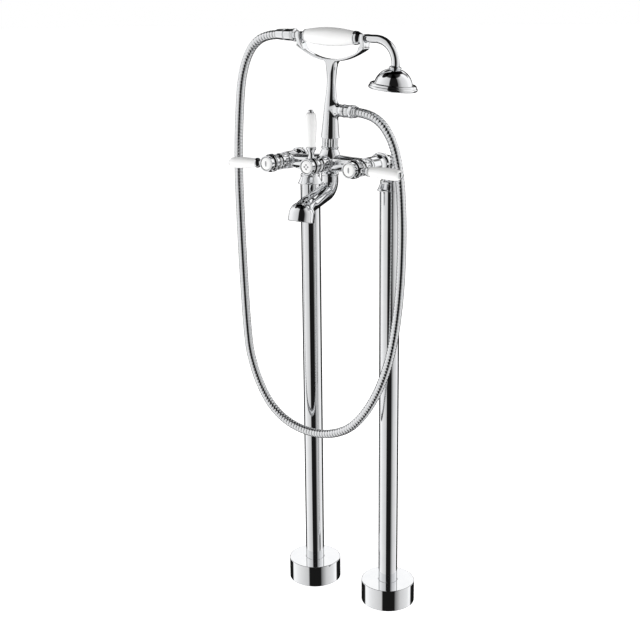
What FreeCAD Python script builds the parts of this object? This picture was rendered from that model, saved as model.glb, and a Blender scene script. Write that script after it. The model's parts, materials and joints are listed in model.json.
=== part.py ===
import FreeCAD, Part
import math
import os

# Floor standing bath filler with handset: two legs rise from the floor to a mixer that lies
# across them.  Millimetres, +Z up, +X to the user's right, -Y towards the user.  The origin is
# on the floor, midway between the two supply centres.

Vector = FreeCAD.Vector

# ---- supply and legs ------------------------------------------------------------------------
SUPPLY_PITCH = 150.0        # distance between the hot and the cold supply
SUPPLY_HEIGHT = 740.5       # axis of the valves and the unions above the floor
LEG_DIAMETER = 32.0
LEG_WALL = 1.5
PIPE_DIAMETER = 15.0        # supply pipe inside each leg
PIPE_WALL = 1.0
COVER_DIAMETER = 89.0       # cup that hides the floor plate
COVER_HEIGHT = 36.8
COVER_WALL = 1.6
COVER_GAP = 0.25            # slip fit of the cover round the leg
PLATE_ACROSS = 66.0         # eight sided floor plate, across its flats
PLATE_THICKNESS = 5.0
PLATE_SOCKET_HEIGHT = 14.0
PLATE_SOCKET_WALL = 2.5
PLATE_BOLT_CIRCLE = 54.0
PLATE_BOLT_HOLE = 6.5
PLATE_BOLTS = 3

# ---- leg tops and unions --------------------------------------------------------------------
COLLAR_HEIGHT = 16.5
COLLAR_DIAMETER = 39.6      # lower rim of the bell shaped collar
COLLAR_TOP_DIAMETER = 28.2
COLLAR_RIM = 1.8
COLLAR_LAP = 8.5            # how far the leg goes up into the collar
ELBOW_DIAMETER = 25.2
ELBOW_RADIUS = 15.0         # bend of the elbow's centre line
TAIL_DIAMETER = 20.4        # inlet tail of the mixer
NUT_ACROSS = 27.0
NUT_WIDTH = 14.5
SHROUD_DIAMETER = 34.6
SHROUD_THROAT = 23.0
SHROUD_LIP = 1.6
SHROUD_FLARE = 4.5
SHROUD_FLARE_DIAMETER = 25.8    # trumpet where its flare ends
ELBOW_LEAD = 7.9            # straight part of the elbow above the leg

# ---- mixer body -----------------------------------------------------------------------------
BODY_REACH = 54.0           # body axis in front of the legs
ARM_DIAMETER_MIDDLE = 25.4  # cross tube tapers from the middle to the valves
ARM_DIAMETER_END = 20.6
HOUSING_DIAMETER = 26.4     # valve housings, across the cross tube
HOUSING_FRONT = 16.0        # housing face in front of the body axis
HOUSING_BACK = 12.5
CARTRIDGE_DIAMETER = 17.0
CARTRIDGE_SEAT = 3.0        # bottom of the cartridge in front of the body axis
DOME_DIAMETER = 33.6        # dome that carries the riser
DOME_FOOT = 8.0
DOME_SHOULDER = 15.0
DOME_TOP = 21.0
RISER_SEAT = 24.0
DOME_SHOULDER_DIAMETER = 30.0
DOME_LIP = 1.6              # dome's upper edge outside the riser's spigot
SPOUT_BOSS_DIAMETER = 27.6
SPOUT_BOSS_DROP = 18.5
SPOUT_BOSS_LIP = 2.0
SPOUT_BOSS_NECK_DIAMETER = 22.8

# ---- valve tops and levers ------------------------------------------------------------------
BONNET_ACROSS = 23.0        # twelve sided bonnet, across its flats
BONNET_SIDES = 12
BONNET_RING_DIAMETER = 25.2
BONNET_RING_START = 26.0
BONNET_RING_END = 31.0
BONNET_NOSE_DIAMETER = 18.6
BONNET_END = 35.5
RUNNING_GAP = 0.5           # between the fixed bonnet and the turning hub
SPINDLE_DIAMETER = 8.0
SPINDLE_CLEARANCE = 0.06
HUB_SKIRT_DIAMETER = 17.6
HUB_DIAMETER = 27.6
HUB_GROOVE_DIAMETER = 22.6
HUB_FACE_DIAMETER = 24.0
HUB_FLARE_START = 41.0
HUB_RING_START = 45.0
HUB_RING_END = 51.5
HUB_GROOVE_END = 55.0
HUB_END = 62.0              # face of the hub in front of the body axis
INDEX_DIAMETER = 20.0       # ceramic index disc let into the hub
INDEX_DEPTH = 2.0
LEVER_STATION = 48.0        # lever axis in front of the body axis
LEVER_REACH = 83.0          # from the valve axis to the tip
FERRULE_WAIST_DIAMETER = 9.0
FERRULE_WAIST = 17.5
FERRULE_LIP_DIAMETER = 15.6
FERRULE_LIP = 1.6
FERRULE_END = 28.0
FERRULE_ROOT_DIAMETER = 12.0
LEVER_ROOT_DIAMETER = 13.0
LEVER_SWELL = 46.0          # ceramic at this station has LEVER_SWELL_DIAMETER
LEVER_SWELL_DIAMETER = 16.2
LEVER_DIAMETER = 17.4
LEVER_FULL = 68.0
LEVER_SHOULDER_DIAMETER = 12.4
LEVER_END = 78.5
LEVER_PIN_DIAMETER = 5.0    # rod through the ceramic, from the ferrule to the button
BUTTON_DIAMETER = 9.4
BUTTON_BAND = 1.5
HOT_LEVER_ANGLE = 183.0     # degrees from +X, seen by the user
COLD_LEVER_ANGLE = -2.5
DIVERTER_LEVER_ANGLE = 88.5

# ---- spout ----------------------------------------------------------------------------------
SPOUT_DIAMETER = 26.4
SPOUT_WALL = 2.4
SPOUT_DROP = 8.0            # straight part under the body
SPOUT_BEND = 19.0           # radius of the bend's centre line
SPOUT_FALL = 15.5           # slope of the neck below level, degrees
SPOUT_NECK = 43.7           # straight slope after the bend
SPOUT_DIP_RADIUS = 22.0     # second bend, down into the bell
SPOUT_DIP = 25.0            # degrees
SPOUT_SHOULDER = 12.8       # from the second bend to the middle of the bell
BELL_DIAMETER = 39.2        # round shoulder of the bell
MOUTH_DIAMETER = 40.0
MOUTH_REACH = 10.5          # from the middle of the bell to its mouth
MOUTH_TILT = 14.0           # mouth axis forward of plumb, degrees
STRAIGHTENER_RECESS = 7.0
STRAIGHTENER_THICKNESS = 2.5
STRAIGHTENER_HOLE = 8.0

# ---- riser, leaning a little to the right ---------------------------------------------------
RISER_LEAN = 2.2            # degrees off plumb, towards +X
RISER_NUT_ACROSS = 25.2
RISER_NUT_SIDES = 12
RISER_NUT_END = 34.0
RISER_SPIGOT_DIAMETER = 21.0
RISER_FOOT_DIAMETER = 26.6
RISER_KNEE = 56.0           # between the foot and the tee
RISER_KNEE_DIAMETER = 22.8
RISER_WAIST_DIAMETER = 14.0
RISER_WAIST = 113.0
RISER_FLARE_START = 128.0
RISER_FLARE_DIAMETER = 16.4     # half way up the flare under the arm
RISER_TOP_DIAMETER = 25.0
RISER_TOP = 150.5
RISER_TOP_ACROSS = 14.6     # flare of the riser's top, front to back
SADDLE_SPARE = 0.2          # riser above the arm's underside before it is hollowed to fit
TEE_STATION = 79.5
TEE_BODY_DIAMETER = 20.4    # riser at the tee
TEE_DIAMETER = 18.2
TEE_REACH = 22.0
TEE_FILLET = 5.0
HOSE_NUT_REACH = 46.0
HOSE_NUT_DIAMETER = 19.4
HOSE_NUT_TAPER = 0.6
HOSE_NUT_SHOULDER = 3.0
HOSE_NUT_RING_DIAMETER = 21.2
HOSE_NUT_RING_WIDTH = 3.5

# ---- cradle ---------------------------------------------------------------------------------
HANDSET_STATION = 186.0     # handset axis above the body axis, along the riser
CRADLE_RADIUS = 100.0       # underside of the bowed arm
CRADLE_THICKNESS = 3.6
CRADLE_WIDTH = 13.0
CRADLE_END_WIDTH = 19.0     # arm where it meets the yokes
CRADLE_FLARE = 16.0         # length over which the arm widens to its end
YOKE_SPREAD = 57.0          # each yoke from the riser axis
YOKE_THICKNESS = 6.0
YOKE_WALL = 4.4
YOKE_FOOT_WIDTH = 17.0
YOKE_RISE = 6.0             # prongs above the handset axis

# ---- handset --------------------------------------------------------------------------------
NECK_DIAMETER = 12.0
NECK_CLEARANCE = 0.3        # handset neck in its yoke
GRIP_START = -51.5
GRIP_END = 37.0
GRIP_END_DIAMETER = 18.6
GRIP_DIAMETER = 27.0
GRIP_FULL = -10.0
GRIP_PIN_DIAMETER = 7.0
GRIP_CAP = 1.7
GRIP_CAP_DIAMETER = 19.6
INLET_RING_START = -69.5
INLET_RING_END = -66.5
INLET_RING_DIAMETER = 19.8
FERRULE_CONE_DIAMETER = 20.4
FERRULE_CONE_BAND = 3.0
FERRULE_CONE_END = 53.2
GOOSENECK_START = 76.0
GOOSENECK_RADIUS = 34.0
GOOSENECK_TURN = 96.0       # degrees
ROSE_COLLAR_DIAMETER = 18.8     # bead between the gooseneck and the dome
ROSE_COLLAR_EDGE_DIAMETER = 15.2
ROSE_COLLAR_HEIGHT = 4.0
ROSE_DOME_DIAMETER = 56.8
ROSE_DOME_DEPTH = 26.0
ROSE_SHOULDER_DIAMETER = 44.8   # dome at half its depth
ROSE_BEAD_DIAMETER = 62.8       # bead where the brim leaves the dome
ROSE_BEAD_HEIGHT = 2.0
ROSE_DIAMETER = 74.0
ROSE_RIM_DEPTH = 29.5
ROSE_DEPTH = 33.0
ROSE_RIM_WALL = 2.2
ROSE_FACE_THICKNESS = 2.5
ROSE_FACE_RECESS = 0.5

# ---- hose -----------------------------------------------------------------------------------
HOSE_DIAMETER = 14.0
HOSE_GROOVE_DIAMETER = 12.4
HOSE_BORE = 8.0
HOSE_RIBS = 96
RIB_RISE_END = 0.12         # shares of one rib's length: the rise, the crown and the fall
RIB_CROWN_END = 0.76
RIB_FALL_END = 0.88
HOSE_SLEEVE_CLEARANCE = 0.3
HOSE_SLEEVE_EDGE = 0.5      # thin edge of the sleeve round the hose
HOSE_END_CLEARANCE = 0.3    # between the hose's end and the floor of the handset nut
HOSE_RUN_SHARE = 0.45       # share of the shorter run that each bend takes
HOSE_TOP_START = -85.0      # end of the hose inside its handset nut
HOSE_TEE_START = 34.6       # end of the hose inside its tee nut
TOP_NUT_END = -91.2
TOP_CONE_END = -105.3
TOP_NUT_DIAMETER = 18.2
TOP_NUT_SMALL_DIAMETER = 16.2
# route of the free hose in its upright plane, (x, z), from the handset to the tee
HOSE_ROUTE = [
    (-113.0, 931.0), (-146.0, 912.6), (-165.0, 873.0), (-172.5, 822.0), (-178.8, 732.0), (-177.2, 634.0),
    (-174.2, 540.0), (-170.6, 462.0), (-165.0, 404.0), (-137.0, 339.0), (-98.0, 304.4), (-47.0, 292.0),
    (2.0, 298.0), (46.0, 322.5), (86.0, 380.0), (112.5, 452.0), (126.2, 545.0), (129.8, 640.0),
    (126.4, 712.0), (118.6, 759.0), (107.8, 785.4), (90.6, 806.6), (64.5, 817.6),
]

LEFT = -SUPPLY_PITCH / 2
RIGHT = SUPPLY_PITCH / 2
UP = Vector(0, 0, 1)
FRONT = Vector(0, -1, 0)
SIDE = Vector(1, 0, 0)
BODY_CENTRE = Vector(0, -BODY_REACH, SUPPLY_HEIGHT)
LEANING = FreeCAD.Placement(BODY_CENTRE, FreeCAD.Rotation(Vector(0, 1, 0), RISER_LEAN))
PLATE_TOP = PLATE_THICKNESS
LEG_TOP = SUPPLY_HEIGHT - ELBOW_RADIUS - ELBOW_DIAMETER / 2 - ELBOW_LEAD
NECK_RADIUS = NECK_DIAMETER / 2
THROUGH = "through"         # marks a corner of an outline that an arc passes through


# ---- shape helpers --------------------------------------------------------------------------
def turned(outline, origin, direction):
    """Solid of revolution: the outline holds (radius, distance along the axis) corners.

    A corner marked THROUGH lies on an arc from the corner before it to the one after it.
    """
    corners = [Vector(corner[0], 0, corner[1]) for corner in outline]
    edges = []
    for number, corner in enumerate(outline):
        if THROUGH in corner:
            continue
        following = (number + 1) % len(outline)
        if THROUGH in outline[following]:
            edges.append(Part.Arc(corners[number], corners[following], corners[following + 1]).toShape())
        else:
            edges.append(Part.makeLine(corners[number], corners[following]))
    solid = Part.Face(Part.Wire(edges)).revolve(Vector(0, 0, 0), UP, 360)
    solid.Placement = FreeCAD.Placement(origin, FreeCAD.Rotation(UP, direction))
    return solid


def rod(diameter, start, end, origin, direction):
    return turned([(0, start), (diameter / 2, start), (diameter / 2, end), (0, end)], origin, direction)


def ring(outer, inner, start, end, origin, direction):
    outline = [(inner / 2, start), (outer / 2, start), (outer / 2, end), (inner / 2, end)]
    return turned(outline, origin, direction)


def prism(across, sides, start, end, origin, direction):
    """Straight prism with flat sides, 'across' measured over the flats."""
    corner = across / 2 / math.cos(math.pi / sides)
    points = []
    for number in range(sides):
        angle = 2 * math.pi * (number + 0.5) / sides
        points.append(Vector(corner * math.cos(angle), corner * math.sin(angle), start))
    solid = Part.Face(Part.makePolygon(points + points[:1])).extrude(Vector(0, 0, end - start))
    solid.Placement = FreeCAD.Placement(origin, FreeCAD.Rotation(UP, direction))
    return solid


def block(low, high):
    size = high - low
    return Part.makeBox(size.x, size.y, size.z, low)


def one_solid(shape):
    return shape.removeSplitter().Solids[0]


def leaned(shape):
    """Moves a shape from the riser's own upright frame to its leaning place."""
    shape.Placement = LEANING.multiply(shape.Placement)
    return shape


def save(name, shapes):
    solids = []
    for shape in shapes:
        solids += shape.Solids
    shape = solids[0] if len(solids) == 1 else Part.makeCompound(solids)
    shape.exportStep("parts/" + name + ".step")
    print(name, len(solids), round(sum(solid.Volume for solid in solids)))


# ---- legs -----------------------------------------------------------------------------------
def floor_plate(x):
    foot = Vector(x, 0, 0)
    plate = prism(PLATE_ACROSS, 8, 0, PLATE_TOP, foot, UP)
    socket = LEG_DIAMETER + 2 * PLATE_SOCKET_WALL
    plate = plate.fuse(rod(socket, 0, PLATE_TOP + PLATE_SOCKET_HEIGHT, foot, UP))
    plate = plate.cut(rod(LEG_DIAMETER, PLATE_TOP, COVER_HEIGHT, foot, UP))
    plate = plate.cut(rod(PIPE_DIAMETER, -1, COVER_HEIGHT, foot, UP))
    for number in range(PLATE_BOLTS):
        angle = 2 * math.pi * number / PLATE_BOLTS + math.pi / 2
        reach = PLATE_BOLT_CIRCLE / 2
        centre = foot + Vector(reach * math.cos(angle), reach * math.sin(angle), 0)
        plate = plate.cut(rod(PLATE_BOLT_HOLE, -1, PLATE_TOP + 1, centre, UP))
    return one_solid(plate)


def leg_tube(x):
    return ring(LEG_DIAMETER, LEG_DIAMETER - 2 * LEG_WALL, PLATE_TOP, LEG_TOP, Vector(x, 0, 0), UP)


def supply_pipe(x):
    return ring(PIPE_DIAMETER, PIPE_DIAMETER - 2 * PIPE_WALL, 0, LEG_TOP, Vector(x, 0, 0), UP)


def base_cover(x):
    outer = COVER_DIAMETER / 2
    hole = LEG_DIAMETER / 2 + COVER_GAP
    ceiling = COVER_HEIGHT - COVER_WALL
    outline = [(outer - COVER_WALL, 0), (outer, 0), (outer, COVER_HEIGHT), (hole, COVER_HEIGHT)]
    outline += [(hole, ceiling), (outer - COVER_WALL, ceiling)]
    return turned(outline, Vector(x, 0, 0), UP)


def leg_collar(x):
    bottom = LEG_TOP - COLLAR_LAP
    top = bottom + COLLAR_HEIGHT
    outline = [(LEG_DIAMETER / 2, bottom), (COLLAR_DIAMETER / 2, bottom)]
    outline += [(COLLAR_DIAMETER / 2, bottom + COLLAR_RIM), (COLLAR_TOP_DIAMETER / 2, top)]
    outline += [(ELBOW_DIAMETER / 2, top), (ELBOW_DIAMETER / 2, LEG_TOP), (LEG_DIAMETER / 2, LEG_TOP)]
    return turned(outline, Vector(x, 0, 0), UP)


def elbow(x):
    """Quarter bend from the top of the leg to the union, square at both ends."""
    start = Vector(x, 0, LEG_TOP)
    bend_start = Vector(x, 0, SUPPLY_HEIGHT - ELBOW_RADIUS)
    bend_end = Vector(x, -ELBOW_RADIUS, SUPPLY_HEIGHT)
    centre = Vector(x, -ELBOW_RADIUS, SUPPLY_HEIGHT - ELBOW_RADIUS)
    outward = Vector(0, math.cos(math.pi / 4), math.sin(math.pi / 4))
    middle = centre + outward * ELBOW_RADIUS
    path = Part.Wire([Part.makeLine(start, bend_start), Part.Arc(bend_start, middle, bend_end).toShape()])
    section = Part.Wire([Part.makeCircle(ELBOW_DIAMETER / 2, start, UP)])
    return path.makePipeShell([section], True, False)


def union_nut(x):
    origin = Vector(x, -ELBOW_RADIUS, SUPPLY_HEIGHT)
    nut = prism(NUT_ACROSS, 6, 0, NUT_WIDTH, origin, FRONT)
    return nut.cut(rod(TAIL_DIAMETER, -1, NUT_WIDTH + 1, origin, FRONT))


def inlet_shroud(x):
    """Trumpet over the inlet tail, its rim against the union nut."""
    origin = Vector(x, -ELBOW_RADIUS - NUT_WIDTH, SUPPLY_HEIGHT)
    length = BODY_REACH - HOUSING_BACK - ELBOW_RADIUS - NUT_WIDTH
    tail = TAIL_DIAMETER / 2
    outline = [(tail, 0), (SHROUD_DIAMETER / 2, 0), (SHROUD_DIAMETER / 2, SHROUD_LIP)]
    outline += [(SHROUD_FLARE_DIAMETER / 2, SHROUD_LIP + SHROUD_FLARE), (SHROUD_THROAT / 2, length)]
    outline += [(tail, length)]
    return turned(outline, origin, FRONT)


# ---- mixer ----------------------------------------------------------------------------------
def mixer_body():
    middle = ARM_DIAMETER_MIDDLE / 2
    end = ARM_DIAMETER_END / 2
    half = SUPPLY_PITCH / 2
    step = HOUSING_DIAMETER / 2
    outline = [(0, -half), (end, -half), (middle, -step), (middle, step), (end, half), (0, half)]
    body = turned(outline, BODY_CENTRE, SIDE)
    for x in (LEFT, 0, RIGHT):
        axis = Vector(x, -BODY_REACH, SUPPLY_HEIGHT)
        body = body.fuse(rod(HOUSING_DIAMETER, -HOUSING_BACK, HOUSING_FRONT, axis, FRONT))
    for x in (LEFT, RIGHT):
        axis = Vector(x, -ELBOW_RADIUS, SUPPLY_HEIGHT)
        body = body.fuse(rod(TAIL_DIAMETER, 0, BODY_REACH - ELBOW_RADIUS, axis, FRONT))
    body = body.fuse(leaned(riser_dome()))
    boss = SPOUT_BOSS_DIAMETER / 2
    neck = SPOUT_BOSS_NECK_DIAMETER / 2
    drop = -SPOUT_BOSS_DROP
    outline = [(0, 0), (neck, 0), (neck, drop + 3 * SPOUT_BOSS_LIP)]
    outline += [(boss, drop + SPOUT_BOSS_LIP), (boss, drop), (0, drop)]
    body = body.fuse(turned(outline, BODY_CENTRE, UP))
    for x in (LEFT, 0, RIGHT):
        axis = Vector(x, -BODY_REACH, SUPPLY_HEIGHT)
        body = body.cut(rod(CARTRIDGE_DIAMETER, CARTRIDGE_SEAT, HOUSING_FRONT + 1, axis, FRONT))
    return one_solid(body)


def riser_dome():
    foot = DOME_DIAMETER / 2
    top = RISER_SPIGOT_DIAMETER / 2 + DOME_LIP
    outline = [(0, 0), (foot, 0), (foot, DOME_FOOT), (DOME_SHOULDER_DIAMETER / 2, DOME_SHOULDER)]
    outline += [(top, DOME_TOP), (top, RISER_SEAT), (0, RISER_SEAT)]
    return turned(outline, Vector(0, 0, 0), UP)


def cartridge(x):
    axis = Vector(x, -BODY_REACH, SUPPLY_HEIGHT)
    bore = SPINDLE_DIAMETER + 2 * SPINDLE_CLEARANCE
    return ring(CARTRIDGE_DIAMETER, bore, CARTRIDGE_SEAT, HOUSING_FRONT, axis, FRONT)


def bonnet(x):
    """Twelve sided bonnet with a ring and a tapered nose, bored for the spindle."""
    axis = Vector(x, -BODY_REACH, SUPPLY_HEIGHT)
    flats = prism(BONNET_ACROSS, BONNET_SIDES, HOUSING_FRONT, BONNET_RING_START, axis, FRONT)
    ring_radius = BONNET_RING_DIAMETER / 2
    outline = [(0, BONNET_RING_START), (ring_radius, BONNET_RING_START), (ring_radius, BONNET_RING_END)]
    outline += [(BONNET_NOSE_DIAMETER / 2, BONNET_END), (0, BONNET_END)]
    bore = SPINDLE_DIAMETER + 2 * SPINDLE_CLEARANCE
    solid = flats.fuse(turned(outline, axis, FRONT))
    return one_solid(solid.cut(rod(bore, 0, HUB_END, axis, FRONT)))


# ---- valve handles --------------------------------------------------------------------------
def lever_direction(angle):
    return Vector(math.cos(math.radians(angle)), 0, math.sin(math.radians(angle)))


def spindle(x):
    axis = Vector(x, -BODY_REACH, SUPPLY_HEIGHT)
    return rod(SPINDLE_DIAMETER, CARTRIDGE_SEAT, HUB_RING_END, axis, FRONT)


def hub(x, angle):
    """Turned hub with the lever's waisted ferrule standing out of its side."""
    axis = Vector(x, -BODY_REACH, SUPPLY_HEIGHT)
    start = BONNET_END + RUNNING_GAP
    groove = HUB_GROOVE_DIAMETER / 2
    face = HUB_FACE_DIAMETER / 2
    outline = [(0, start), (HUB_SKIRT_DIAMETER / 2, start), (HUB_SKIRT_DIAMETER / 2, HUB_FLARE_START)]
    outline += [(HUB_DIAMETER / 2, HUB_RING_START), (HUB_DIAMETER / 2, HUB_RING_END)]
    outline += [(groove, HUB_GROOVE_END), (face, HUB_GROOVE_END + 1), (face, HUB_END - 1)]
    outline += [(face - 1, HUB_END), (0, HUB_END)]
    solid = turned(outline, axis, FRONT)
    root = Vector(x, -BODY_REACH - LEVER_STATION, SUPPLY_HEIGHT)
    waist = FERRULE_WAIST_DIAMETER / 2
    lip = FERRULE_LIP_DIAMETER / 2
    outline = [(0, 0), (FERRULE_ROOT_DIAMETER / 2, 0), (waist, FERRULE_WAIST)]
    outline += [(lip, FERRULE_END - FERRULE_LIP)]
    outline += [(lip, FERRULE_END), (0, FERRULE_END)]
    solid = solid.fuse(turned(outline, root, lever_direction(angle)))
    solid = solid.cut(rod(INDEX_DIAMETER, HUB_END - INDEX_DEPTH, HUB_END + 1, axis, FRONT))
    solid = solid.cut(rod(SPINDLE_DIAMETER, 0, HUB_RING_END, axis, FRONT))
    return one_solid(solid)


def index_disc(x):
    axis = Vector(x, -BODY_REACH, SUPPLY_HEIGHT)
    return rod(INDEX_DIAMETER, HUB_END - INDEX_DEPTH, HUB_END, axis, FRONT)


def lever(x, angle):
    """Ceramic sleeve that swells towards its rounded end."""
    root = Vector(x, -BODY_REACH - LEVER_STATION, SUPPLY_HEIGHT)
    pin = LEVER_PIN_DIAMETER / 2
    outline = [(pin, FERRULE_END), (LEVER_ROOT_DIAMETER / 2, FERRULE_END)]
    outline += [(LEVER_SWELL_DIAMETER / 2, LEVER_SWELL, THROUGH), (LEVER_DIAMETER / 2, LEVER_FULL)]
    outline += [(LEVER_SHOULDER_DIAMETER / 2, LEVER_END), (pin, LEVER_END)]
    return turned(outline, root, lever_direction(angle))


def lever_button(x, angle):
    """Button with the rod that clamps the ceramic to the ferrule."""
    root = Vector(x, -BODY_REACH - LEVER_STATION, SUPPLY_HEIGHT)
    button = BUTTON_DIAMETER / 2
    pin = LEVER_PIN_DIAMETER / 2
    outline = [(0, FERRULE_END), (pin, FERRULE_END), (pin, LEVER_END), (button, LEVER_END)]
    outline += [(button, LEVER_END + BUTTON_BAND), (button / 2, LEVER_REACH), (0, LEVER_REACH)]
    return turned(outline, root, lever_direction(angle))


# ---- spout ----------------------------------------------------------------------------------
def sloping(angle):
    """Direction towards the user that falls by an angle in degrees."""
    return Vector(0, -math.cos(math.radians(angle)), -math.sin(math.radians(angle)))


def spout_bend(start, slope, turn, radius):
    """Arc from a start point that turns the falling direction by an angle; its end and slope."""
    bending = -1 if turn > 0 else 1
    centre = start + sloping(slope).cross(SIDE) * (radius * bending)
    middle = centre + SIDE.cross(sloping(slope + turn / 2)) * (radius * bending)
    end = centre + SIDE.cross(sloping(slope + turn)) * (radius * bending)
    return Part.Arc(start, middle, end).toShape(), end, slope + turn


def spout_line():
    """Centre line of the spout as edges, and the middle of its bell."""
    top = BODY_CENTRE - Vector(0, 0, SPOUT_BOSS_DROP)
    bend_start = top - Vector(0, 0, SPOUT_DROP)
    bend, bend_end, slope = spout_bend(bend_start, 90, SPOUT_FALL - 90, SPOUT_BEND)
    dip_start = bend_end + sloping(slope) * SPOUT_NECK
    dip, dip_end, dip_slope = spout_bend(dip_start, slope, SPOUT_DIP, SPOUT_DIP_RADIUS)
    bell = dip_end + sloping(dip_slope) * SPOUT_SHOULDER
    lines = [Part.makeLine(top, bend_start), bend, Part.makeLine(bend_end, dip_start)]
    return lines + [dip, Part.makeLine(dip_end, bell)], bell


def spout_form(inset):
    """Bent neck and bell, set in from the outside by a wall."""
    edges, bell = spout_line()
    path = Part.Wire(edges)
    top = BODY_CENTRE - Vector(0, 0, SPOUT_BOSS_DROP)
    section = Part.Wire([Part.makeCircle(SPOUT_DIAMETER / 2 - inset, top, UP)])
    neck = path.makePipeShell([section], True, False)
    shoulder = BELL_DIAMETER / 2 - inset
    mouth = MOUTH_DIAMETER / 2 - inset
    tilt = 90 - MOUTH_TILT
    skirt = turned([(0, 0), (shoulder, 0), (mouth, MOUTH_REACH), (0, MOUTH_REACH)], bell, sloping(tilt))
    dome = Part.makeSphere(shoulder, Vector(), UP, 0, 90, 360)
    dome.Placement = FreeCAD.Placement(bell, FreeCAD.Rotation(UP, sloping(tilt) * -1))
    return one_solid(skirt.fuse(dome).fuse(neck))


def spout():
    return one_solid(spout_form(0).cut(spout_form(SPOUT_WALL)))


def flow_straightener():
    edges, bell = spout_line()
    outside = MOUTH_DIAMETER - 2 * SPOUT_WALL
    inside = BELL_DIAMETER - 2 * SPOUT_WALL
    end = MOUTH_REACH - STRAIGHTENER_RECESS
    start = end - STRAIGHTENER_THICKNESS
    wide = inside + (outside - inside) * end / MOUTH_REACH
    small = inside + (outside - inside) * start / MOUTH_REACH
    hole = STRAIGHTENER_HOLE / 2
    outline = [(hole, start), (small / 2, start), (wide / 2, end), (hole, end)]
    return turned(outline, bell, sloping(90 - MOUTH_TILT))


# ---- riser and cradle, in the riser's own frame ---------------------------------------------
def riser_nut():
    nut = prism(RISER_NUT_ACROSS, RISER_NUT_SIDES, RISER_SEAT, RISER_NUT_END, Vector(), UP)
    return leaned(nut.cut(rod(RISER_SPIGOT_DIAMETER, 0, RISER_TOP, Vector(), UP)))


def riser():
    """Waisted column with the hose tee; its top is hollowed to the bow of the arm."""
    saddle = arm_underside(RISER_TOP_DIAMETER / 2) + SADDLE_SPARE
    spigot = RISER_SPIGOT_DIAMETER / 2
    waist = RISER_WAIST_DIAMETER / 2
    outline = [(0, RISER_SEAT), (spigot, RISER_SEAT), (spigot, RISER_NUT_END)]
    outline += [(RISER_FOOT_DIAMETER / 2, RISER_NUT_END), (RISER_KNEE_DIAMETER / 2, RISER_KNEE)]
    outline += [(TEE_BODY_DIAMETER / 2, TEE_STATION), (waist, RISER_WAIST), (waist, RISER_FLARE_START)]
    outline += [(RISER_FLARE_DIAMETER / 2, (RISER_FLARE_START + RISER_TOP) / 2, THROUGH)]
    outline += [(RISER_TOP_DIAMETER / 2, saddle), (0, saddle)]
    solid = turned(outline, Vector(), UP)
    solid = solid.fuse(rod(TEE_DIAMETER, 0, TEE_REACH, Vector(0, 0, TEE_STATION), SIDE))
    solid = solid.cut(cradle_drum(CRADLE_RADIUS, RISER_TOP_DIAMETER + 2))
    for side in (-1, 1):
        face = side * RISER_TOP_ACROSS / 2
        beyond = side * RISER_TOP_DIAMETER
        low = Vector(-RISER_TOP_DIAMETER, min(face, beyond), RISER_FLARE_START)
        high = Vector(RISER_TOP_DIAMETER, max(face, beyond), RISER_TOP + RISER_TOP_DIAMETER)
        solid = solid.cut(block(low, high))
    solid = one_solid(solid)
    return leaned(solid.makeFillet(TEE_FILLET, tee_roots(solid)))


def tee_roots(solid):
    """Edges where the tee's stub leaves the riser."""
    reach = TEE_DIAMETER / 2 + 1
    roots = []
    for edge in solid.Edges:
        box = edge.BoundBox
        beside = box.XMin > 0 and box.XMax < TEE_REACH - 1
        if beside and abs(box.Center.z - TEE_STATION) < reach and box.ZLength > TEE_DIAMETER / 4:
            roots.append(edge)
    return roots


def arm_underside(reach):
    """Height of the arm's underside at a distance from the riser's axis."""
    return RISER_TOP + CRADLE_RADIUS - math.sqrt(CRADLE_RADIUS ** 2 - reach ** 2)


def cradle_drum(radius, width):
    """Round drum that the bowed arm lies on, its axis across the arm."""
    edge = Vector(0, -width / 2, RISER_TOP + CRADLE_RADIUS)
    return Part.makeCylinder(radius, width, edge, Vector(0, 1, 0))


def cradle():
    """Bowed arm on the riser's top that widens to an open yoke at each end."""
    solid = cradle_drum(CRADLE_RADIUS, CRADLE_END_WIDTH)
    solid = solid.cut(cradle_drum(CRADLE_RADIUS - CRADLE_THICKNESS, CRADLE_END_WIDTH)).common(cradle_plan())
    for side in (-1, 1):
        solid = solid.fuse(yoke(side))
    return leaned(one_solid(solid))


def cradle_plan():
    """Outline of the arm from above, as a tall prism up to the handset's axis."""
    reach = YOKE_SPREAD + YOKE_THICKNESS / 2
    slim = YOKE_SPREAD - YOKE_THICKNESS / 2 - CRADLE_FLARE
    front = [(-reach, -CRADLE_END_WIDTH / 2), (-slim, -CRADLE_WIDTH / 2)]
    front += [(slim, -CRADLE_WIDTH / 2), (reach, -CRADLE_END_WIDTH / 2)]
    back = [(x, -y) for x, y in reversed(front)]
    corners = [Vector(x, y, 0) for x, y in front + back]
    return Part.Face(Part.makePolygon(corners + corners[:1])).extrude(UP * HANDSET_STATION)


def yoke(side):
    """Upright plate with an open slot for the handset's neck, standing on the arm's end."""
    bore = NECK_RADIUS + NECK_CLEARANCE
    outer = bore + YOKE_WALL
    start = side * YOKE_SPREAD - YOKE_THICKNESS / 2
    origin = Vector(start, 0, HANDSET_STATION)
    solid = rod(2 * outer, 0, YOKE_THICKNESS, origin, SIDE)
    solid = solid.fuse(yoke_block(origin, outer, 0, YOKE_RISE))
    foot = arm_underside(YOKE_SPREAD + YOKE_THICKNESS / 2) - HANDSET_STATION
    solid = solid.fuse(yoke_block(origin, YOKE_FOOT_WIDTH / 2, foot, -bore))
    solid = solid.cut(rod(2 * bore, -1, YOKE_THICKNESS + 1, origin, SIDE))
    solid = solid.cut(yoke_block(origin, outer, YOKE_RISE, 2 * outer))
    return solid.cut(yoke_block(origin, bore, 0, 2 * outer))


def yoke_block(origin, half_width, low, high):
    corner = origin + Vector(0, -half_width, low)
    return block(corner, corner + Vector(YOKE_THICKNESS, 2 * half_width, high - low))


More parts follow.
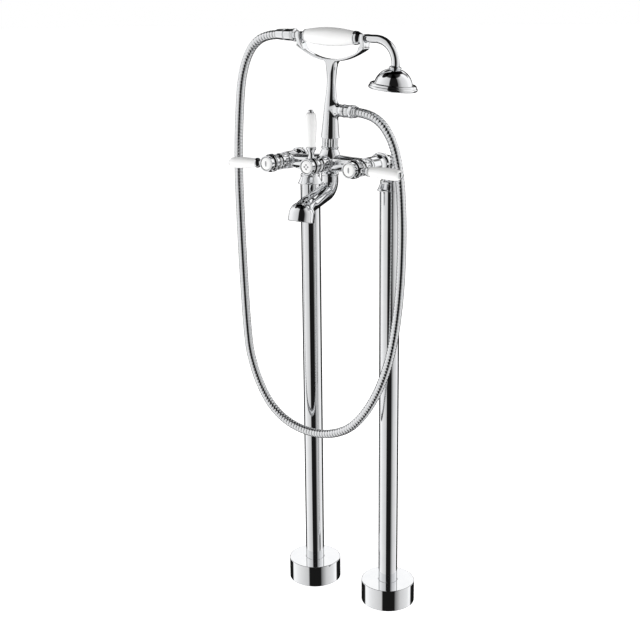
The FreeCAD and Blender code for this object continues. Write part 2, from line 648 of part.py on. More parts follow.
def tee_nut():
    """Hose nut on the tee, with a sleeve round the end of the hose."""
    ring_start = (TEE_REACH + HOSE_NUT_REACH) / 2
    sleeve = HOSE_DIAMETER / 2 + HOSE_SLEEVE_CLEARANCE
    nut = HOSE_NUT_DIAMETER / 2
    bead = HOSE_NUT_RING_DIAMETER / 2
    outline = [(0, TEE_REACH), (TEE_DIAMETER / 2, TEE_REACH), (nut, TEE_REACH + HOSE_NUT_SHOULDER)]
    outline += [(nut - HOSE_NUT_TAPER, ring_start), (bead, ring_start)]
    outline += [(bead, ring_start + HOSE_NUT_RING_WIDTH)]
    outline += [(sleeve + HOSE_SLEEVE_EDGE, HOSE_NUT_REACH), (sleeve, HOSE_NUT_REACH)]
    outline += [(sleeve, HOSE_TEE_START), (0, HOSE_TEE_START)]
    return leaned(turned(outline, Vector(0, 0, TEE_STATION), SIDE))


# ---- handset, in the riser's own frame ------------------------------------------------------
def handset_axis():
    return Vector(0, 0, HANDSET_STATION)


def handset_nut():
    """Tapered hose nut on the handset inlet, its sleeve round the end of the hose."""
    sleeve = HOSE_DIAMETER / 2 + HOSE_SLEEVE_CLEARANCE
    floor = HOSE_TOP_START + HOSE_END_CLEARANCE
    outline = [(0, INLET_RING_START), (TOP_NUT_DIAMETER / 2, INLET_RING_START)]
    outline += [(TOP_NUT_SMALL_DIAMETER / 2, TOP_NUT_END), (sleeve + HOSE_SLEEVE_EDGE, TOP_CONE_END)]
    outline += [(sleeve, TOP_CONE_END), (sleeve, floor), (0, floor)]
    return leaned(turned(outline, handset_axis(), SIDE))


def handset_inlet():
    """Inlet ring, neck and end cap, with the rod that runs through the grip."""
    cap = GRIP_CAP_DIAMETER / 2
    pin = GRIP_PIN_DIAMETER / 2
    outline = [(0, INLET_RING_START), (INLET_RING_DIAMETER / 2, INLET_RING_START)]
    outline += [(INLET_RING_DIAMETER / 2, INLET_RING_END), (NECK_RADIUS, INLET_RING_END)]
    outline += [(NECK_RADIUS, GRIP_START - GRIP_CAP), (cap, GRIP_START - GRIP_CAP), (cap, GRIP_START)]
    outline += [(pin, GRIP_START), (pin, GRIP_END), (0, GRIP_END)]
    return leaned(turned(outline, handset_axis(), SIDE))


def handset_grip():
    """Ceramic grip, swelling along one long arc."""
    pin = GRIP_PIN_DIAMETER / 2
    end = GRIP_END_DIAMETER / 2
    outline = [(pin, GRIP_START), (end, GRIP_START), (GRIP_DIAMETER / 2, GRIP_FULL, THROUGH)]
    outline += [(end, GRIP_END), (pin, GRIP_END)]
    return leaned(turned(outline, handset_axis(), SIDE))


def gooseneck_end():
    """Point and direction where the rose is screwed to the gooseneck."""
    turn = math.radians(GOOSENECK_TURN)
    x = GOOSENECK_START + GOOSENECK_RADIUS * math.sin(turn)
    z = HANDSET_STATION - GOOSENECK_RADIUS * (1 - math.cos(turn))
    return Vector(x, 0, z), Vector(math.cos(turn), 0, -math.sin(turn))


def handset_gooseneck():
    """Ferrule and bent tube from the grip to the rose."""
    start = Vector(FERRULE_CONE_END, 0, HANDSET_STATION)
    bend_start = Vector(GOOSENECK_START, 0, HANDSET_STATION)
    half = math.radians(GOOSENECK_TURN) / 2
    centre = bend_start - Vector(0, 0, GOOSENECK_RADIUS)
    middle = centre + Vector(math.sin(half), 0, math.cos(half)) * GOOSENECK_RADIUS
    end = gooseneck_end()[0]
    path = Part.Wire([Part.makeLine(start, bend_start), Part.Arc(bend_start, middle, end).toShape()])
    section = Part.Wire([Part.makeCircle(NECK_RADIUS, start, SIDE)])
    tube = path.makePipeShell([section], True, False)
    cone = FERRULE_CONE_DIAMETER / 2
    outline = [(0, GRIP_END), (cone, GRIP_END), (cone, GRIP_END + FERRULE_CONE_BAND)]
    outline += [(NECK_RADIUS, FERRULE_CONE_END), (0, FERRULE_CONE_END)]
    return leaned(one_solid(tube.fuse(turned(outline, handset_axis(), SIDE))))


def rose_shell():
    """Domed rose with a beaded collar and a flared brim, open underneath for its face."""
    end, direction = gooseneck_end()
    dome = ROSE_DOME_DIAMETER / 2
    rim = ROSE_DIAMETER / 2
    bead = ROSE_COLLAR_DIAMETER / 2
    edge = ROSE_COLLAR_EDGE_DIAMETER / 2
    outline = [(0, 0), (edge, 0), (bead, ROSE_COLLAR_HEIGHT / 2, THROUGH), (edge, ROSE_COLLAR_HEIGHT)]
    outline += [(ROSE_SHOULDER_DIAMETER / 2, ROSE_DOME_DEPTH / 2, THROUGH), (dome, ROSE_DOME_DEPTH)]
    brim = ROSE_BEAD_DIAMETER / 2
    outline += [(brim, ROSE_DOME_DEPTH), (brim, ROSE_DOME_DEPTH + ROSE_BEAD_HEIGHT)]
    outline += [(rim, ROSE_RIM_DEPTH), (rim, ROSE_DEPTH), (rim - ROSE_RIM_WALL, ROSE_DEPTH)]
    outline += [(rim - ROSE_RIM_WALL, rose_face_start()), (0, rose_face_start())]
    return leaned(turned(outline, end, direction))


def rose_face_start():
    return ROSE_DEPTH - ROSE_FACE_THICKNESS - ROSE_FACE_RECESS


def rose_face():
    end, direction = gooseneck_end()
    start = rose_face_start()
    diameter = ROSE_DIAMETER - 2 * ROSE_RIM_WALL
    return leaned(rod(diameter, start, start + ROSE_FACE_THICKNESS, end, direction))


# ---- hose -----------------------------------------------------------------------------------
def hose_points():
    top = LEANING.multVec(Vector(HOSE_TOP_START, 0, HANDSET_STATION))
    tee = LEANING.multVec(Vector(HOSE_TEE_START, 0, TEE_STATION))
    return [top] + [Vector(x, -BODY_REACH, z) for x, z in HOSE_ROUTE] + [tee]


def hose_spans(points):
    """Straight runs and tangent arcs: (length, start, direction, centre or None, radius)."""
    spans = []
    radii = []
    here = points[0]
    for before, corner, after in zip(points, points[1:], points[2:]):
        first = corner - before
        second = after - corner
        cut = HOSE_RUN_SHARE * min(first.Length, second.Length)
        arriving = first.normalize()
        leaving = second.normalize()
        turn = arriving.getAngle(leaving)
        radius = cut / math.tan(turn / 2)
        radii.append(radius)
        arc_start = corner - arriving * cut
        inward = (leaving - arriving).normalize()
        centre = corner + inward * (radius / math.cos(turn / 2))
        spans.append(((arc_start - here).Length, here, arriving, None, 0))
        spans.append((radius * turn, arc_start, arriving, centre, radius))
        here = corner + leaving * cut
    spans.append(((points[-1] - here).Length, here, (points[-1] - here).normalize(), None, 0))
    return spans, radii


def hose_station(spans, distance):
    """Point and direction at a distance along the hose."""
    number = 0
    while distance > spans[number][0] and number < len(spans) - 1:
        distance -= spans[number][0]
        number += 1
    length, start, direction, centre, radius = spans[number]
    if centre is None:
        return start + direction * distance, direction
    angle = distance / radius
    spoke = start - centre
    point = centre + spoke * math.cos(angle) + direction * (radius * math.sin(angle))
    return point, direction * math.cos(angle) - spoke * (math.sin(angle) / radius)


def hose_loft(spans, stations):
    """Ruled loft through circles whose X axis stays along the world's Y."""
    wires = []
    for distance, diameter in stations:
        point, direction = hose_station(spans, distance)
        circle = Part.Wire([Part.makeCircle(diameter / 2)])
        turn = FreeCAD.Rotation(Vector(0, 1, 0), Vector(), direction, "ZXY")
        circle.Placement = FreeCAD.Placement(point, turn)
        wires.append(circle)
    return Part.makeLoft(wires, True, True)


def hose():
    """Hose with rounded ribs and an open bore, from the handset's nut to the tee's."""
    points = hose_points()
    spans, radii = hose_spans(points)
    total = sum(span[0] for span in spans)
    pitch = total / HOSE_RIBS
    outside = []
    bore = []
    rib = [(0, HOSE_GROOVE_DIAMETER), (RIB_RISE_END, HOSE_DIAMETER)]
    rib += [(RIB_CROWN_END, HOSE_DIAMETER), (RIB_FALL_END, HOSE_GROOVE_DIAMETER)]
    for number in range(HOSE_RIBS):
        outside += [((number + share) * pitch, diameter) for share, diameter in rib]
        bore.append((number * pitch, HOSE_BORE))
    outside.append((total, HOSE_GROOVE_DIAMETER))
    bore.append((total, HOSE_BORE))
    print("hose length", round(total, 1), "radii", [round(radius) for radius in radii])
    print("hose runs", [round((b - a).Length) for a, b in zip(points, points[1:])])
    return hose_loft(spans, outside).cut(hose_loft(spans, bore))


# ---- assembly -------------------------------------------------------------------------------
def build():
    os.makedirs("parts", exist_ok=True)
    sides = (LEFT, RIGHT)
    valves = (LEFT, 0, RIGHT)
    save("floor_plates", [floor_plate(x) for x in sides])
    save("base_covers", [base_cover(x) for x in sides])
    save("leg_tube_hot", [leg_tube(LEFT)])
    save("leg_tube_cold", [leg_tube(RIGHT)])
    save("supply_pipe_hot", [supply_pipe(LEFT)])
    save("supply_pipe_cold", [supply_pipe(RIGHT)])
    save("leg_collars", [leg_collar(x) for x in sides])
    save("leg_elbows", [elbow(x) for x in sides])
    save("union_nuts", [union_nut(x) for x in sides])
    save("inlet_shrouds", [inlet_shroud(x) for x in sides])
    save("mixer_body", [mixer_body()])
    save("valve_cartridges", [cartridge(x) for x in valves])
    save("valve_bonnets", [bonnet(x) for x in valves])
    angles = (HOT_LEVER_ANGLE, DIVERTER_LEVER_ANGLE, COLD_LEVER_ANGLE)
    for name, x, angle in zip(("hot", "diverter", "cold"), valves, angles):
        save(name + "_spindle", [spindle(x)])
        save(name + "_hub", [hub(x, angle)])
        save(name + "_index_disc", [index_disc(x)])
        save(name + "_lever", [lever(x, angle)])
        save(name + "_lever_button", [lever_button(x, angle)])
    save("spout", [spout()])
    save("flow_straightener", [flow_straightener()])
    save("riser_nut", [riser_nut()])
    save("riser", [riser()])
    save("cradle", [cradle()])
    save("hose_nut_tee", [tee_nut()])
    save("hose_nut_handset", [handset_nut()])
    save("handset_inlet", [handset_inlet()])
    save("handset_grip", [handset_grip()])
    save("handset_gooseneck", [handset_gooseneck()])
    save("rose_shell", [rose_shell()])
    save("rose_face", [rose_face()])
    save("hose", [hose()])


build()
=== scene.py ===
import json
import math

import bmesh
import bpy
from mathutils import Matrix, Vector


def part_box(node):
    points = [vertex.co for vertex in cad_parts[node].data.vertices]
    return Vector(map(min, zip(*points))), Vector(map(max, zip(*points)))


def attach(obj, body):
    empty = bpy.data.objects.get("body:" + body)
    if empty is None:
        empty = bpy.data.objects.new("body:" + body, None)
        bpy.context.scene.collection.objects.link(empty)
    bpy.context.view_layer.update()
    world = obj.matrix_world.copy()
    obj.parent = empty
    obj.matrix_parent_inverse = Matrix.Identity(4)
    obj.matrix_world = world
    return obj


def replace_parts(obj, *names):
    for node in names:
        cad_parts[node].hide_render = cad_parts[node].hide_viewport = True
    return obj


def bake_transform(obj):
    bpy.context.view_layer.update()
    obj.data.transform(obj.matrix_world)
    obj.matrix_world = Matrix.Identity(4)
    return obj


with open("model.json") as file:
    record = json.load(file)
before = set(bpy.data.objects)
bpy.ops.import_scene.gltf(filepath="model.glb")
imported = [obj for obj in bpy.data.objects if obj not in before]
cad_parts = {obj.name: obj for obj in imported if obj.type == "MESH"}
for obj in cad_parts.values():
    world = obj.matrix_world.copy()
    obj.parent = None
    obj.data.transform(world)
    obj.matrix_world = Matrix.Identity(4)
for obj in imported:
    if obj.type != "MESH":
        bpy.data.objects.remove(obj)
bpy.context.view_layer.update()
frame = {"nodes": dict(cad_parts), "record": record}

# Floor standing bath filler: polished chrome, glazed white ceramic and an interlocked metal hose.
# Lengths are in millimetres, except the floor's, the lights' and the camera's clipping, in metres.
# The profile of a turned form is a list of (radius, along) corners. A third number rounds one.
MM = 0.001

# ---- places from the frame ----
JOINTS = {joint["name"]: joint for joint in frame["record"]["behaviour"]["joints"]}
HINGE = Vector(JOINTS["cold_turn"]["pos_m"]) / MM
LIFT = Vector(JOINTS["handset_lift"]["axis"]).normalized()
AXIS_HEIGHT = HINGE.z
LEG_X = HINGE.x
LEG_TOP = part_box("leg_tube_hot")[1].z / MM
COVER_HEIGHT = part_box("base_covers")[1].z / MM
LEGS = {"hot": -LEG_X, "cold": LEG_X}
VALVES = {"hot": -LEG_X, "diverter": 0.0, "cold": LEG_X}

# ---- sizes of the legs and the mixer ----
LEG_RADIUS = 16.0
LEG_WALL = 1.5
LEG_HEIGHTS = (5, 200, 450, LEG_TOP)
COVER_RADIUS = 44.5
COVER_WALL = 1.6
COVER_GAP = 0.25
COLLAR_BOTTOM = LEG_TOP - 8.5
COLLAR_TOP = COLLAR_BOTTOM + 16.5
ELBOW_RADIUS = 12.6
ELBOW_BEND = 15.0
NUT_SIDES = 6
NUT_WIDTH = 14.5
NUT_ACROSS = 27.0
NUT_CHAMFER = 1.2
NUT_FACE_SHARE = 0.985
NUT_FLAT_STEPS = 6
TAIL_RADIUS = 10.2
BODY_Y = -54.0
HOUSING_BACK = 12.5
HOUSING_RADIUS = 13.2
HOUSING_FRONT = 16.0
HOUSING_BORE = 8.5
HOUSING_BOTTOM = 3
ARM_RADIUS = 10.3
ARM_MIDDLE_RADIUS = 12.7
BONNET_BACK = 16
BONNET_MIDDLE = 26.2
BONNET_FRONT = 35.5
BONNET_BORE = 4.1
BONNET_FLUTES = 12

# ---- sizes of a lever handle ----
HUB_BACK = 36.0
HUB_FACE = 62.0
HUB_BORE = 4
LEVER_STATION = 48.0
LEVER_REACH = 83.0
LEVER_ANGLES = {"hot": 183.0, "diverter": 90.0, "cold": -2.5}
SLEEVE_START = 28
SLEEVE_END = 78.5
SLEEVE_BORE = 2.5
DISC_BACK = HUB_FACE - 2
DISC_RADIUS = 9.4
# near-black ring of painted shade that fills the gap between the index disc and the hub
SHADE_RING_RADIUS = 9.95
SHADE_RING_FACE = HUB_FACE - 0.8
MARK_BACK = HUB_FACE - 0.25
MARK_THICKNESS = 0.3
MARK_CROWN = 0.06
MARK_CROWN_SHARE = 0.82
MARK_SQUARENESS = 0.7
MARK_SIDES = 32
BAR_MARK = [(0, 0, 1.35, 4.2)]
DOT_COUNT = 4
DOT_CIRCLE = 3.0
DOT_RADIUS = 1.4

# ---- sizes of the spout ----
SPOUT_BOSS = 18.5
SPOUT_RUNS = [("line", 8), (-74.5, 19.0), ("line", 43.7), (25.0, 22.0), ("line", 12.8)]
SPOUT_STEP = 1.2
SPOUT_NECK_RADIUS = 13.2
SPOUT_SWELL = 2.0
SPOUT_SWELL_STEPS = 20
SPOUT_HIDDEN_STEPS = 4
BELL_TILT = math.radians(14)
BELL_RADIUS = 19.6
BELL_SHOULDER_STEPS = 12

# ---- sizes of the riser and the cradle ----
RISER_NUT_BOTTOM = 24
RISER_NUT_BORE = 10.5
RISER_NUT_FLUTES = 14
RISER_FOOT = 38.0
RISER_TOP = 150.5
FLARE_HEIGHT = 130.0
FLARE_HALF = 7.3
TEE_STATION = 79.5
TEE_RADIUS = 9.1
TEE_ROOT_END = 16.6
TEE_ROOT_STEPS = 16
TEE_END = 27.0
TEE_FOOT_ACROSS = 9.8
TEE_FOOT_ABOVE = 20.0
TEE_FOOT_BELOW = 15.0
ARC_HANDLE = 0.55
CRADLE_RADIUS = 100.0
CRADLE_THICKNESS = 3.6
CRADLE_OVERHANG = 2.8
CRADLE_HALF_WIDTH = 6.5
CRADLE_WIDENING = 3.0
CRADLE_WIDENS_FROM = 0.72
CRADLE_STEPS = 64
CRADLE_SIDES = 24
CRADLE_SIDE_POWER = 0.35
CRADLE_FACE_POWER = 0.6
YOKE_SPREAD = 57.0
YOKE_THICKNESS = 6.0
YOKE_BORE = 6.3
YOKE_OUTER = 10.7
YOKE_RISE = 6.0
YOKE_FOOT = -16.0
YOKE_STEPS = 32
YOKE_FOOT_SHARE = 0.86
YOKE_FOOT_BLEND = 0.16
FOOT_NECK = 10.0
FOOT_SPREAD = 7.0
FOOT_DROP = 4.6

# ---- sizes of the handset and the hose ----
HANDSET_STATION = 186.0
INLET_END = -69.5
GRIP_START = -47.0
GRIP_END = 39.4
GRIP_END_RADIUS = 9.0
NECK_START = 53.2
NECK_RADIUS = 6.0
NECK_RUNS = [("line", 22.8), (-94.8, 34.0)]
ROSE_FACE_RADIUS = 33.6
ROSE_FACE_BACK = 30.0
NOZZLE_CIRCLES = ((0, 1), (7, 6), (14, 12), (21, 18), (28, 24))
NOZZLE_SIDES = 12
HOSE_RADIUS = 7.0
HOSE_PITCH = 5.3
HOSE_SIDES = 28
HOSE_RIB = [6.2, 6.75, 6.93, 7.0, 7.0, 7.0, 6.93, 6.75]
HOSE_SLEEVE = HOSE_RADIUS + 0.3

# ---- fineness of the meshes ----
SMOOTH = 72
FINE = 96
FINEST = 128
SIDES_PER_FLUTE = 12
ROUNDING_STEPS = 4
ROUNDING_REACH = 0.48
BEVEL_SEGMENTS = 3
FLAT_FACE_WEIGHT = 80
LINE_STEP = 1.5
TIP_RADIUS = 1e-5
END_MARGIN = 1e-6

UP = Vector((0, 0, 1))
FRONT = Vector((0, -1, 0))
SIDE = Vector((1, 0, 0))
BODY = Vector((0, BODY_Y, AXIS_HEIGHT))
LEAN = Matrix.Translation(BODY) @ UP.rotation_difference(LIFT).to_matrix().to_4x4()


def leaned(x, y, z):
    """A point of the riser's own upright frame in its leaning place."""
    return LEAN @ Vector((x, y, z))


ALONG = (leaned(1, 0, 0) - leaned(0, 0, 0)).normalized()


# ---- materials ----
def material(name, color, metallic, roughness, coat=0.0):
    made = bpy.data.materials.new(name)
    made.use_nodes = True
    shader = made.node_tree.nodes["Principled BSDF"]
    shader.inputs["Base Color"].default_value = (*color, 1)
    shader.inputs["Metallic"].default_value = metallic
    shader.inputs["Roughness"].default_value = roughness
    shader.inputs["Coat Weight"].default_value = coat
    return made, made.node_tree, shader


def add_noise(tree, scale, detail, stretch=(1, 1, 1)):
    place = tree.nodes.new("ShaderNodeTexCoord")
    mapping = tree.nodes.new("ShaderNodeMapping")
    mapping.inputs["Scale"].default_value = stretch
    noise = tree.nodes.new("ShaderNodeTexNoise")
    noise.inputs["Scale"].default_value = scale
    noise.inputs["Detail"].default_value = detail
    tree.links.new(place.outputs["Object"], mapping.inputs["Vector"])
    tree.links.new(mapping.outputs["Vector"], noise.inputs["Vector"])
    return noise.outputs["Fac"]


def remapped(tree, source, start=(0, 1), end=(0, 1)):
    """The source with the range start turned into the range end."""
    node = tree.nodes.new("ShaderNodeMapRange")
    for socket, value in zip(("From Min", "From Max", "To Min", "To Max"), (*start, *end)):
        node.inputs[socket].default_value = value
    tree.links.new(source, node.inputs["Value"])
    return node.outputs["Result"]


def ramp(tree, source, stops):
    """Colour ramp through (position, colour) stops."""
    node = tree.nodes.new("ShaderNodeValToRGB")
    elements = node.color_ramp.elements
    while len(elements) > 1:
        elements.remove(elements[-1])
    elements[0].position = stops[0][0]
    elements[0].color = (*stops[0][1], 1)
    for position, color in stops[1:]:
        elements.new(position).color = (*color, 1)
    tree.links.new(source, node.inputs["Fac"])
    return node.outputs["Color"]


def roughen(tree, shader, source, low, high):
    tree.links.new(remapped(tree, source, end=(low, high)), shader.inputs["Roughness"])


def tint(tree, shader, source, dark, light):
    tree.links.new(ramp(tree, source, [(0.0, dark), (1.0, light)]), shader.inputs["Base Color"])


def add_bump(tree, shader, height, strength, distance):
    bump = tree.nodes.new("ShaderNodeBump")
    bump.inputs["Strength"].default_value = strength
    bump.inputs["Distance"].default_value = distance
    tree.links.new(height, bump.inputs["Height"])
    tree.links.new(bump.outputs["Normal"], shader.inputs["Normal"])


def chrome_material():
    """Chrome plate: mirror bright, with the faintest waviness of hand polishing."""
    made, tree, shader = material("polished_chrome", (0.86, 0.87, 0.88), metallic=1.0, roughness=0.03)
    smears = add_noise(tree, scale=60, detail=4)
    roughen(tree, shader, smears, 0.015, 0.06)
    tint(tree, shader, smears, dark=(0.82, 0.83, 0.85), light=(0.90, 0.905, 0.91))
    waves = add_noise(tree, scale=35, detail=1)
    add_bump(tree, shader, waves, strength=0.02, distance=0.0002)
    return made


def ceramic_material():
    """Glazed white ceramic: warm body under a clear glossy glaze."""
    made, tree, shader = material("white_glaze", (0.93, 0.93, 0.925), 0.0, roughness=0.22, coat=0.35)
    shader.inputs["Coat Roughness"].default_value = 0.05
    shader.inputs["Specular IOR Level"].default_value = 0.3
    mottle = add_noise(tree, scale=90, detail=3)
    tint(tree, shader, mottle, dark=(0.915, 0.915, 0.91), light=(0.955, 0.955, 0.95))
    ripples = add_noise(tree, scale=140, detail=1)
    add_bump(tree, shader, ripples, strength=0.04, distance=0.0004)
    return made


def hose_material():
    """Rolled chrome strip: a little rougher than the castings, with worn patches."""
    made, tree, shader = material("hose_strip", (0.80, 0.81, 0.82), metallic=1.0, roughness=0.12)
    wear = add_noise(tree, scale=240, detail=5)
    roughen(tree, shader, wear, 0.06, 0.2)
    tint(tree, shader, wear, dark=(0.74, 0.75, 0.77), light=(0.88, 0.885, 0.89))
    return made


def turned_metal(name, dark, light, roughness):
    """Bare turned metal with fine tool marks."""
    made, tree, shader = material(name, light, metallic=1.0, roughness=roughness)
    marks = add_noise(tree, scale=40, detail=3, stretch=(1, 1, 40))
    roughen(tree, shader, marks, roughness, roughness + 0.15)
    tint(tree, shader, marks, dark, light)
    return made


def moulded_plastic(name, dark, light):
    """Plastic, enamel, or the near-black ring of painted shade round the index discs, with a fine grain.
    """
    made, tree, shader = material(name, light, metallic=0.0, roughness=0.45)
    grain = add_noise(tree, scale=700, detail=4)
    tint(tree, shader, grain, dark, light)
    add_bump(tree, shader, grain, strength=0.1, distance=0.0001)
    return made


CHROME = chrome_material()
CERAMIC = ceramic_material()
HOSE_METAL = hose_material()
BRASS = turned_metal("turned_brass", (0.52, 0.38, 0.16), (0.72, 0.55, 0.27), 0.22)
COPPER = turned_metal("drawn_copper", (0.55, 0.27, 0.16), (0.78, 0.43, 0.28), 0.25)
STEEL = turned_metal("plate_steel", (0.36, 0.37, 0.38), (0.58, 0.59, 0.60), 0.3)
GREY_PLASTIC = moulded_plastic("spray_plastic", (0.42, 0.43, 0.44), (0.55, 0.56, 0.57))
# Painted shade: near-black for the ring that stands in for the shadow in the gap round each index disc.
GAP_SHADE = moulded_plastic("painted_gap_shade", (0.015, 0.015, 0.015), (0.03, 0.03, 0.03))
ENAMEL = moulded_plastic("grey_enamel", (0.24, 0.24, 0.25), (0.34, 0.34, 0.35))


# ---- objects from meshes ----
def add_object(name, mesh, body="root", finish=CHROME):
    """Smooth shaded object from (points in millimetres, faces); it rides on a body of the frame."""
    vertices, faces = mesh
    data = bpy.data.meshes.new(name)
    data.from_pydata([Vector(vertex) * MM for vertex in vertices], [], faces)
    data.validate()
    tidy = bmesh.new()
    tidy.from_mesh(data)
    bmesh.ops.recalc_face_normals(tidy, faces=tidy.faces)
    tidy.to_mesh(data)
    tidy.free()
    data.shade_smooth()
    data.materials.append(finish)
    piece = bpy.data.objects.new(name, data)
    bpy.context.scene.collection.objects.link(piece)
    flat = piece.modifiers.new("flat_faces", "WEIGHTED_NORMAL")
    flat.mode = "FACE_AREA"
    flat.weight = FLAT_FACE_WEIGHT
    if body:
        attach(piece, body)
    return piece


def soften(piece, width, angle):
    """Small bevel on edges sharper than the angle, so that they catch the light."""
    bevel = piece.modifiers.new("edge_round", "BEVEL")
    bevel.width = width * MM
    bevel.segments = BEVEL_SEGMENTS
    bevel.limit_method = "ANGLE"
    bevel.angle_limit = math.radians(angle)
    bevel.harden_normals = True


# ---- lines and curves ----
def angles(count):
    """Even steps round a circle."""
    return [2 * math.pi * number / count for number in range(count)]


def polar(reach, angle, along=0.0):
    return Vector((reach * math.cos(angle), reach * math.sin(angle), along))


def turn_to(direction):
    """Rotation from straight up to a direction."""
    return UP.rotation_difference(Vector(direction)).to_matrix()


def eased(share):
    """Share from 0 to 1 that starts and ends gently."""
    return share * share * (3 - 2 * share)


def squared(value, power):
    """A sine or cosine raised to a power with its sign kept, which squares an ellipse."""
    return math.copysign(abs(value) ** power, value)


def rounded(outline):
    """Turns the corners of a profile that give a rounding into short arcs."""
    points = []
    for number, corner in enumerate(outline):
        here = Vector(corner[:2])
        rounding = corner[2] if len(corner) > 2 else 0
        if rounding == 0 or number in (0, len(outline) - 1):
            points.append(here)
            continue
        before = Vector(outline[number - 1][:2]) - here
        after = Vector(outline[number + 1][:2]) - here
        cut = min(rounding, ROUNDING_REACH * before.length, ROUNDING_REACH * after.length)
        start = here + before.normalized() * cut
        end = here + after.normalized() * cut
        for step in range(ROUNDING_STEPS + 1):
            share = step / ROUNDING_STEPS
            rest = 1 - share
            points.append(start * rest ** 2 + here * 2 * share * rest + end * share ** 2)
    return points


def smooth_curve(corners, steps):
    """Catmull-Rom curve through (radius, along) corners."""
    ends = [corners[0]] + list(corners) + [corners[-1]]
    points = []
    for group in zip(ends, ends[1:], ends[2:], ends[3:]):
        a, b, c, d = (Vector(corner) for corner in group)
        for step in range(steps):
            t = step / steps
            spot = 2 * b + (c - a) * t + (2 * a - 5 * b + 4 * c - d) * t * t
            points.append(0.5 * (spot + (3 * b - a - 3 * c + d) * t ** 3))
    points.append(Vector(corners[-1]))
    return [(point.x, point.y) for point in points]


def bent_line(start, direction, turning, runs, step=LINE_STEP):
    """Stations (point, direction) along runs ("line", length) and bends (degrees, radius)."""
    point = Vector(start)
    heading = Vector(direction).normalized()
    stations = [(point.copy(), heading.copy())]
    for first, second in runs:
        if first == "line":
            count = max(1, round(second / step))
            for number in range(count):
                point = point + heading * (second / count)
                stations.append((point.copy(), heading.copy()))
            continue
        bend = math.radians(first)
        count = max(4, round(abs(bend) * second / step))
        half = Matrix.Rotation(bend / count / 2, 3, turning)
        for number in range(count):
            heading = half @ heading
            point = point + heading * (2 * second * math.sin(abs(bend) / count / 2))
            heading = half @ heading
            stations.append((point.copy(), heading.copy()))
    return stations


# ---- meshes as (points, faces) ----
def skin(rings, closed=False):
    """Mesh over successive rings of points; a ring of one point is a tip."""
    vertices = []
    numbered = []
    for ring in rings:
        numbered.append(range(len(vertices), len(vertices) + len(ring)))
        vertices += ring
    pairs = list(zip(numbered, numbered[1:]))
    if closed:
        pairs.append((numbered[-1], numbered[0]))
    faces = []
    for low, high in pairs:
        count = max(len(low), len(high))
        for number in range(count):
            after = (number + 1) % count
            corners = [low[number % len(low)], low[after % len(low)]]
            corners += [high[after % len(high)], high[number % len(high)]]
            faces.append(list(dict.fromkeys(corners)))
    return vertices, [face for face in faces if len(face) > 2]


def turned_mesh(outline, origin, direction, sides=SMOOTH, closed=False, flutes=None):
    """Lathe-turned form; flutes is (count, depth, start, end)."""
    turn = turn_to(direction)
    rings = []
    for radius, along in rounded(outline):
        ring = []
        for angle in angles(1 if radius < TIP_RADIUS else sides):
            reach = radius
            if flutes and flutes[2] <= along <= flutes[3]:
                reach -= flutes[1] * (0.5 - 0.5 * math.cos(flutes[0] * angle)) ** 2
            ring.append(Vector(origin) + turn @ polar(reach, angle, along))
        rings.append(ring)
    return skin(rings, closed)


def turned(name, outline, origin, direction, body="root", finish=CHROME, slot="chrome", **options):
    mesh = turned_mesh(outline, origin, direction, **options)
    return add_object(name, mesh, body, finish)


def merged(meshes):
    """Several meshes as one."""
    vertices = []
    faces = []
    for points, loops in meshes:
        start = len(vertices)
        vertices += list(points)
        faces += [[start + corner for corner in loop] for loop in loops]
    return vertices, faces


def swept_mesh(stations, flat, sides=SMOOTH):
    """Round tube through (point, direction, radius) stations; flat is square to the path's plane."""
    rings = []
    for point, direction, radius in stations:
        across = flat.cross(direction).normalized()
        spokes = [flat * math.cos(angle) + across * math.sin(angle) for angle in angles(sides)]
        rings.append([point + spoke * radius for spoke in spokes])
    return skin([[stations[0][0]]] + rings + [[stations[-1][0]]])


def tube_mesh(line, radius, flat):
    return swept_mesh([(point, heading, radius) for point, heading in line], flat)


def prism_mesh(across, start, end, origin, direction, chamfer, bore):
    """Six-sided nut: corners turned off at both faces, open through its bore."""
    turn = turn_to(direction)
    flat = across / 2
    corner = 2 * math.pi / NUT_SIDES
    face = flat * NUT_FACE_SHARE
    levels = [(start, bore), (start, face), (start + chamfer, None)]
    levels += [(end - chamfer, None), (end, face), (end, bore)]
    rings = []
    for along, radius in levels:
        ring = []
        for angle in angles(NUT_FLAT_STEPS * NUT_SIDES):
            off = (angle + corner / 2) % corner - corner / 2
            reach = radius or flat / math.cos(off)
            ring.append(Vector(origin) + turn @ polar(reach, angle, along))
        rings.append(ring)
    return skin(rings, True)


# ---- legs ----
def legs():
    inner = LEG_RADIUS - LEG_WALL
    outline = [(LEG_RADIUS, height) for height in LEG_HEIGHTS]
    outline = [(inner, LEG_HEIGHTS[0])] + outline + [(inner, LEG_TOP)]
    for name, x in LEGS.items():
        tube = turned("leg_" + name, outline, (x, 0, 0), UP, sides=FINE, closed=True)
        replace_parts(tube, "leg_tube_" + name)


def base_covers():
    hole = LEG_RADIUS + COVER_GAP
    inner = COVER_RADIUS - COVER_WALL
    ceiling = COVER_HEIGHT - COVER_WALL
    outline = [(inner, 0), (COVER_RADIUS - 0.3, 0), (COVER_RADIUS, 0.5, 0.4), (COVER_RADIUS, 12)]
    outline += [(COVER_RADIUS, 25), (COVER_RADIUS, COVER_HEIGHT, 1.1), (hole + 8, COVER_HEIGHT)]
    outline += [(hole, COVER_HEIGHT, 0.5), (hole, ceiling), (inner, ceiling)]
    meshes = [turned_mesh(outline, (x, 0, 0), UP, sides=FINEST, closed=True) for x in LEGS.values()]
    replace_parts(add_object("covers", merged(meshes)), "base_covers")


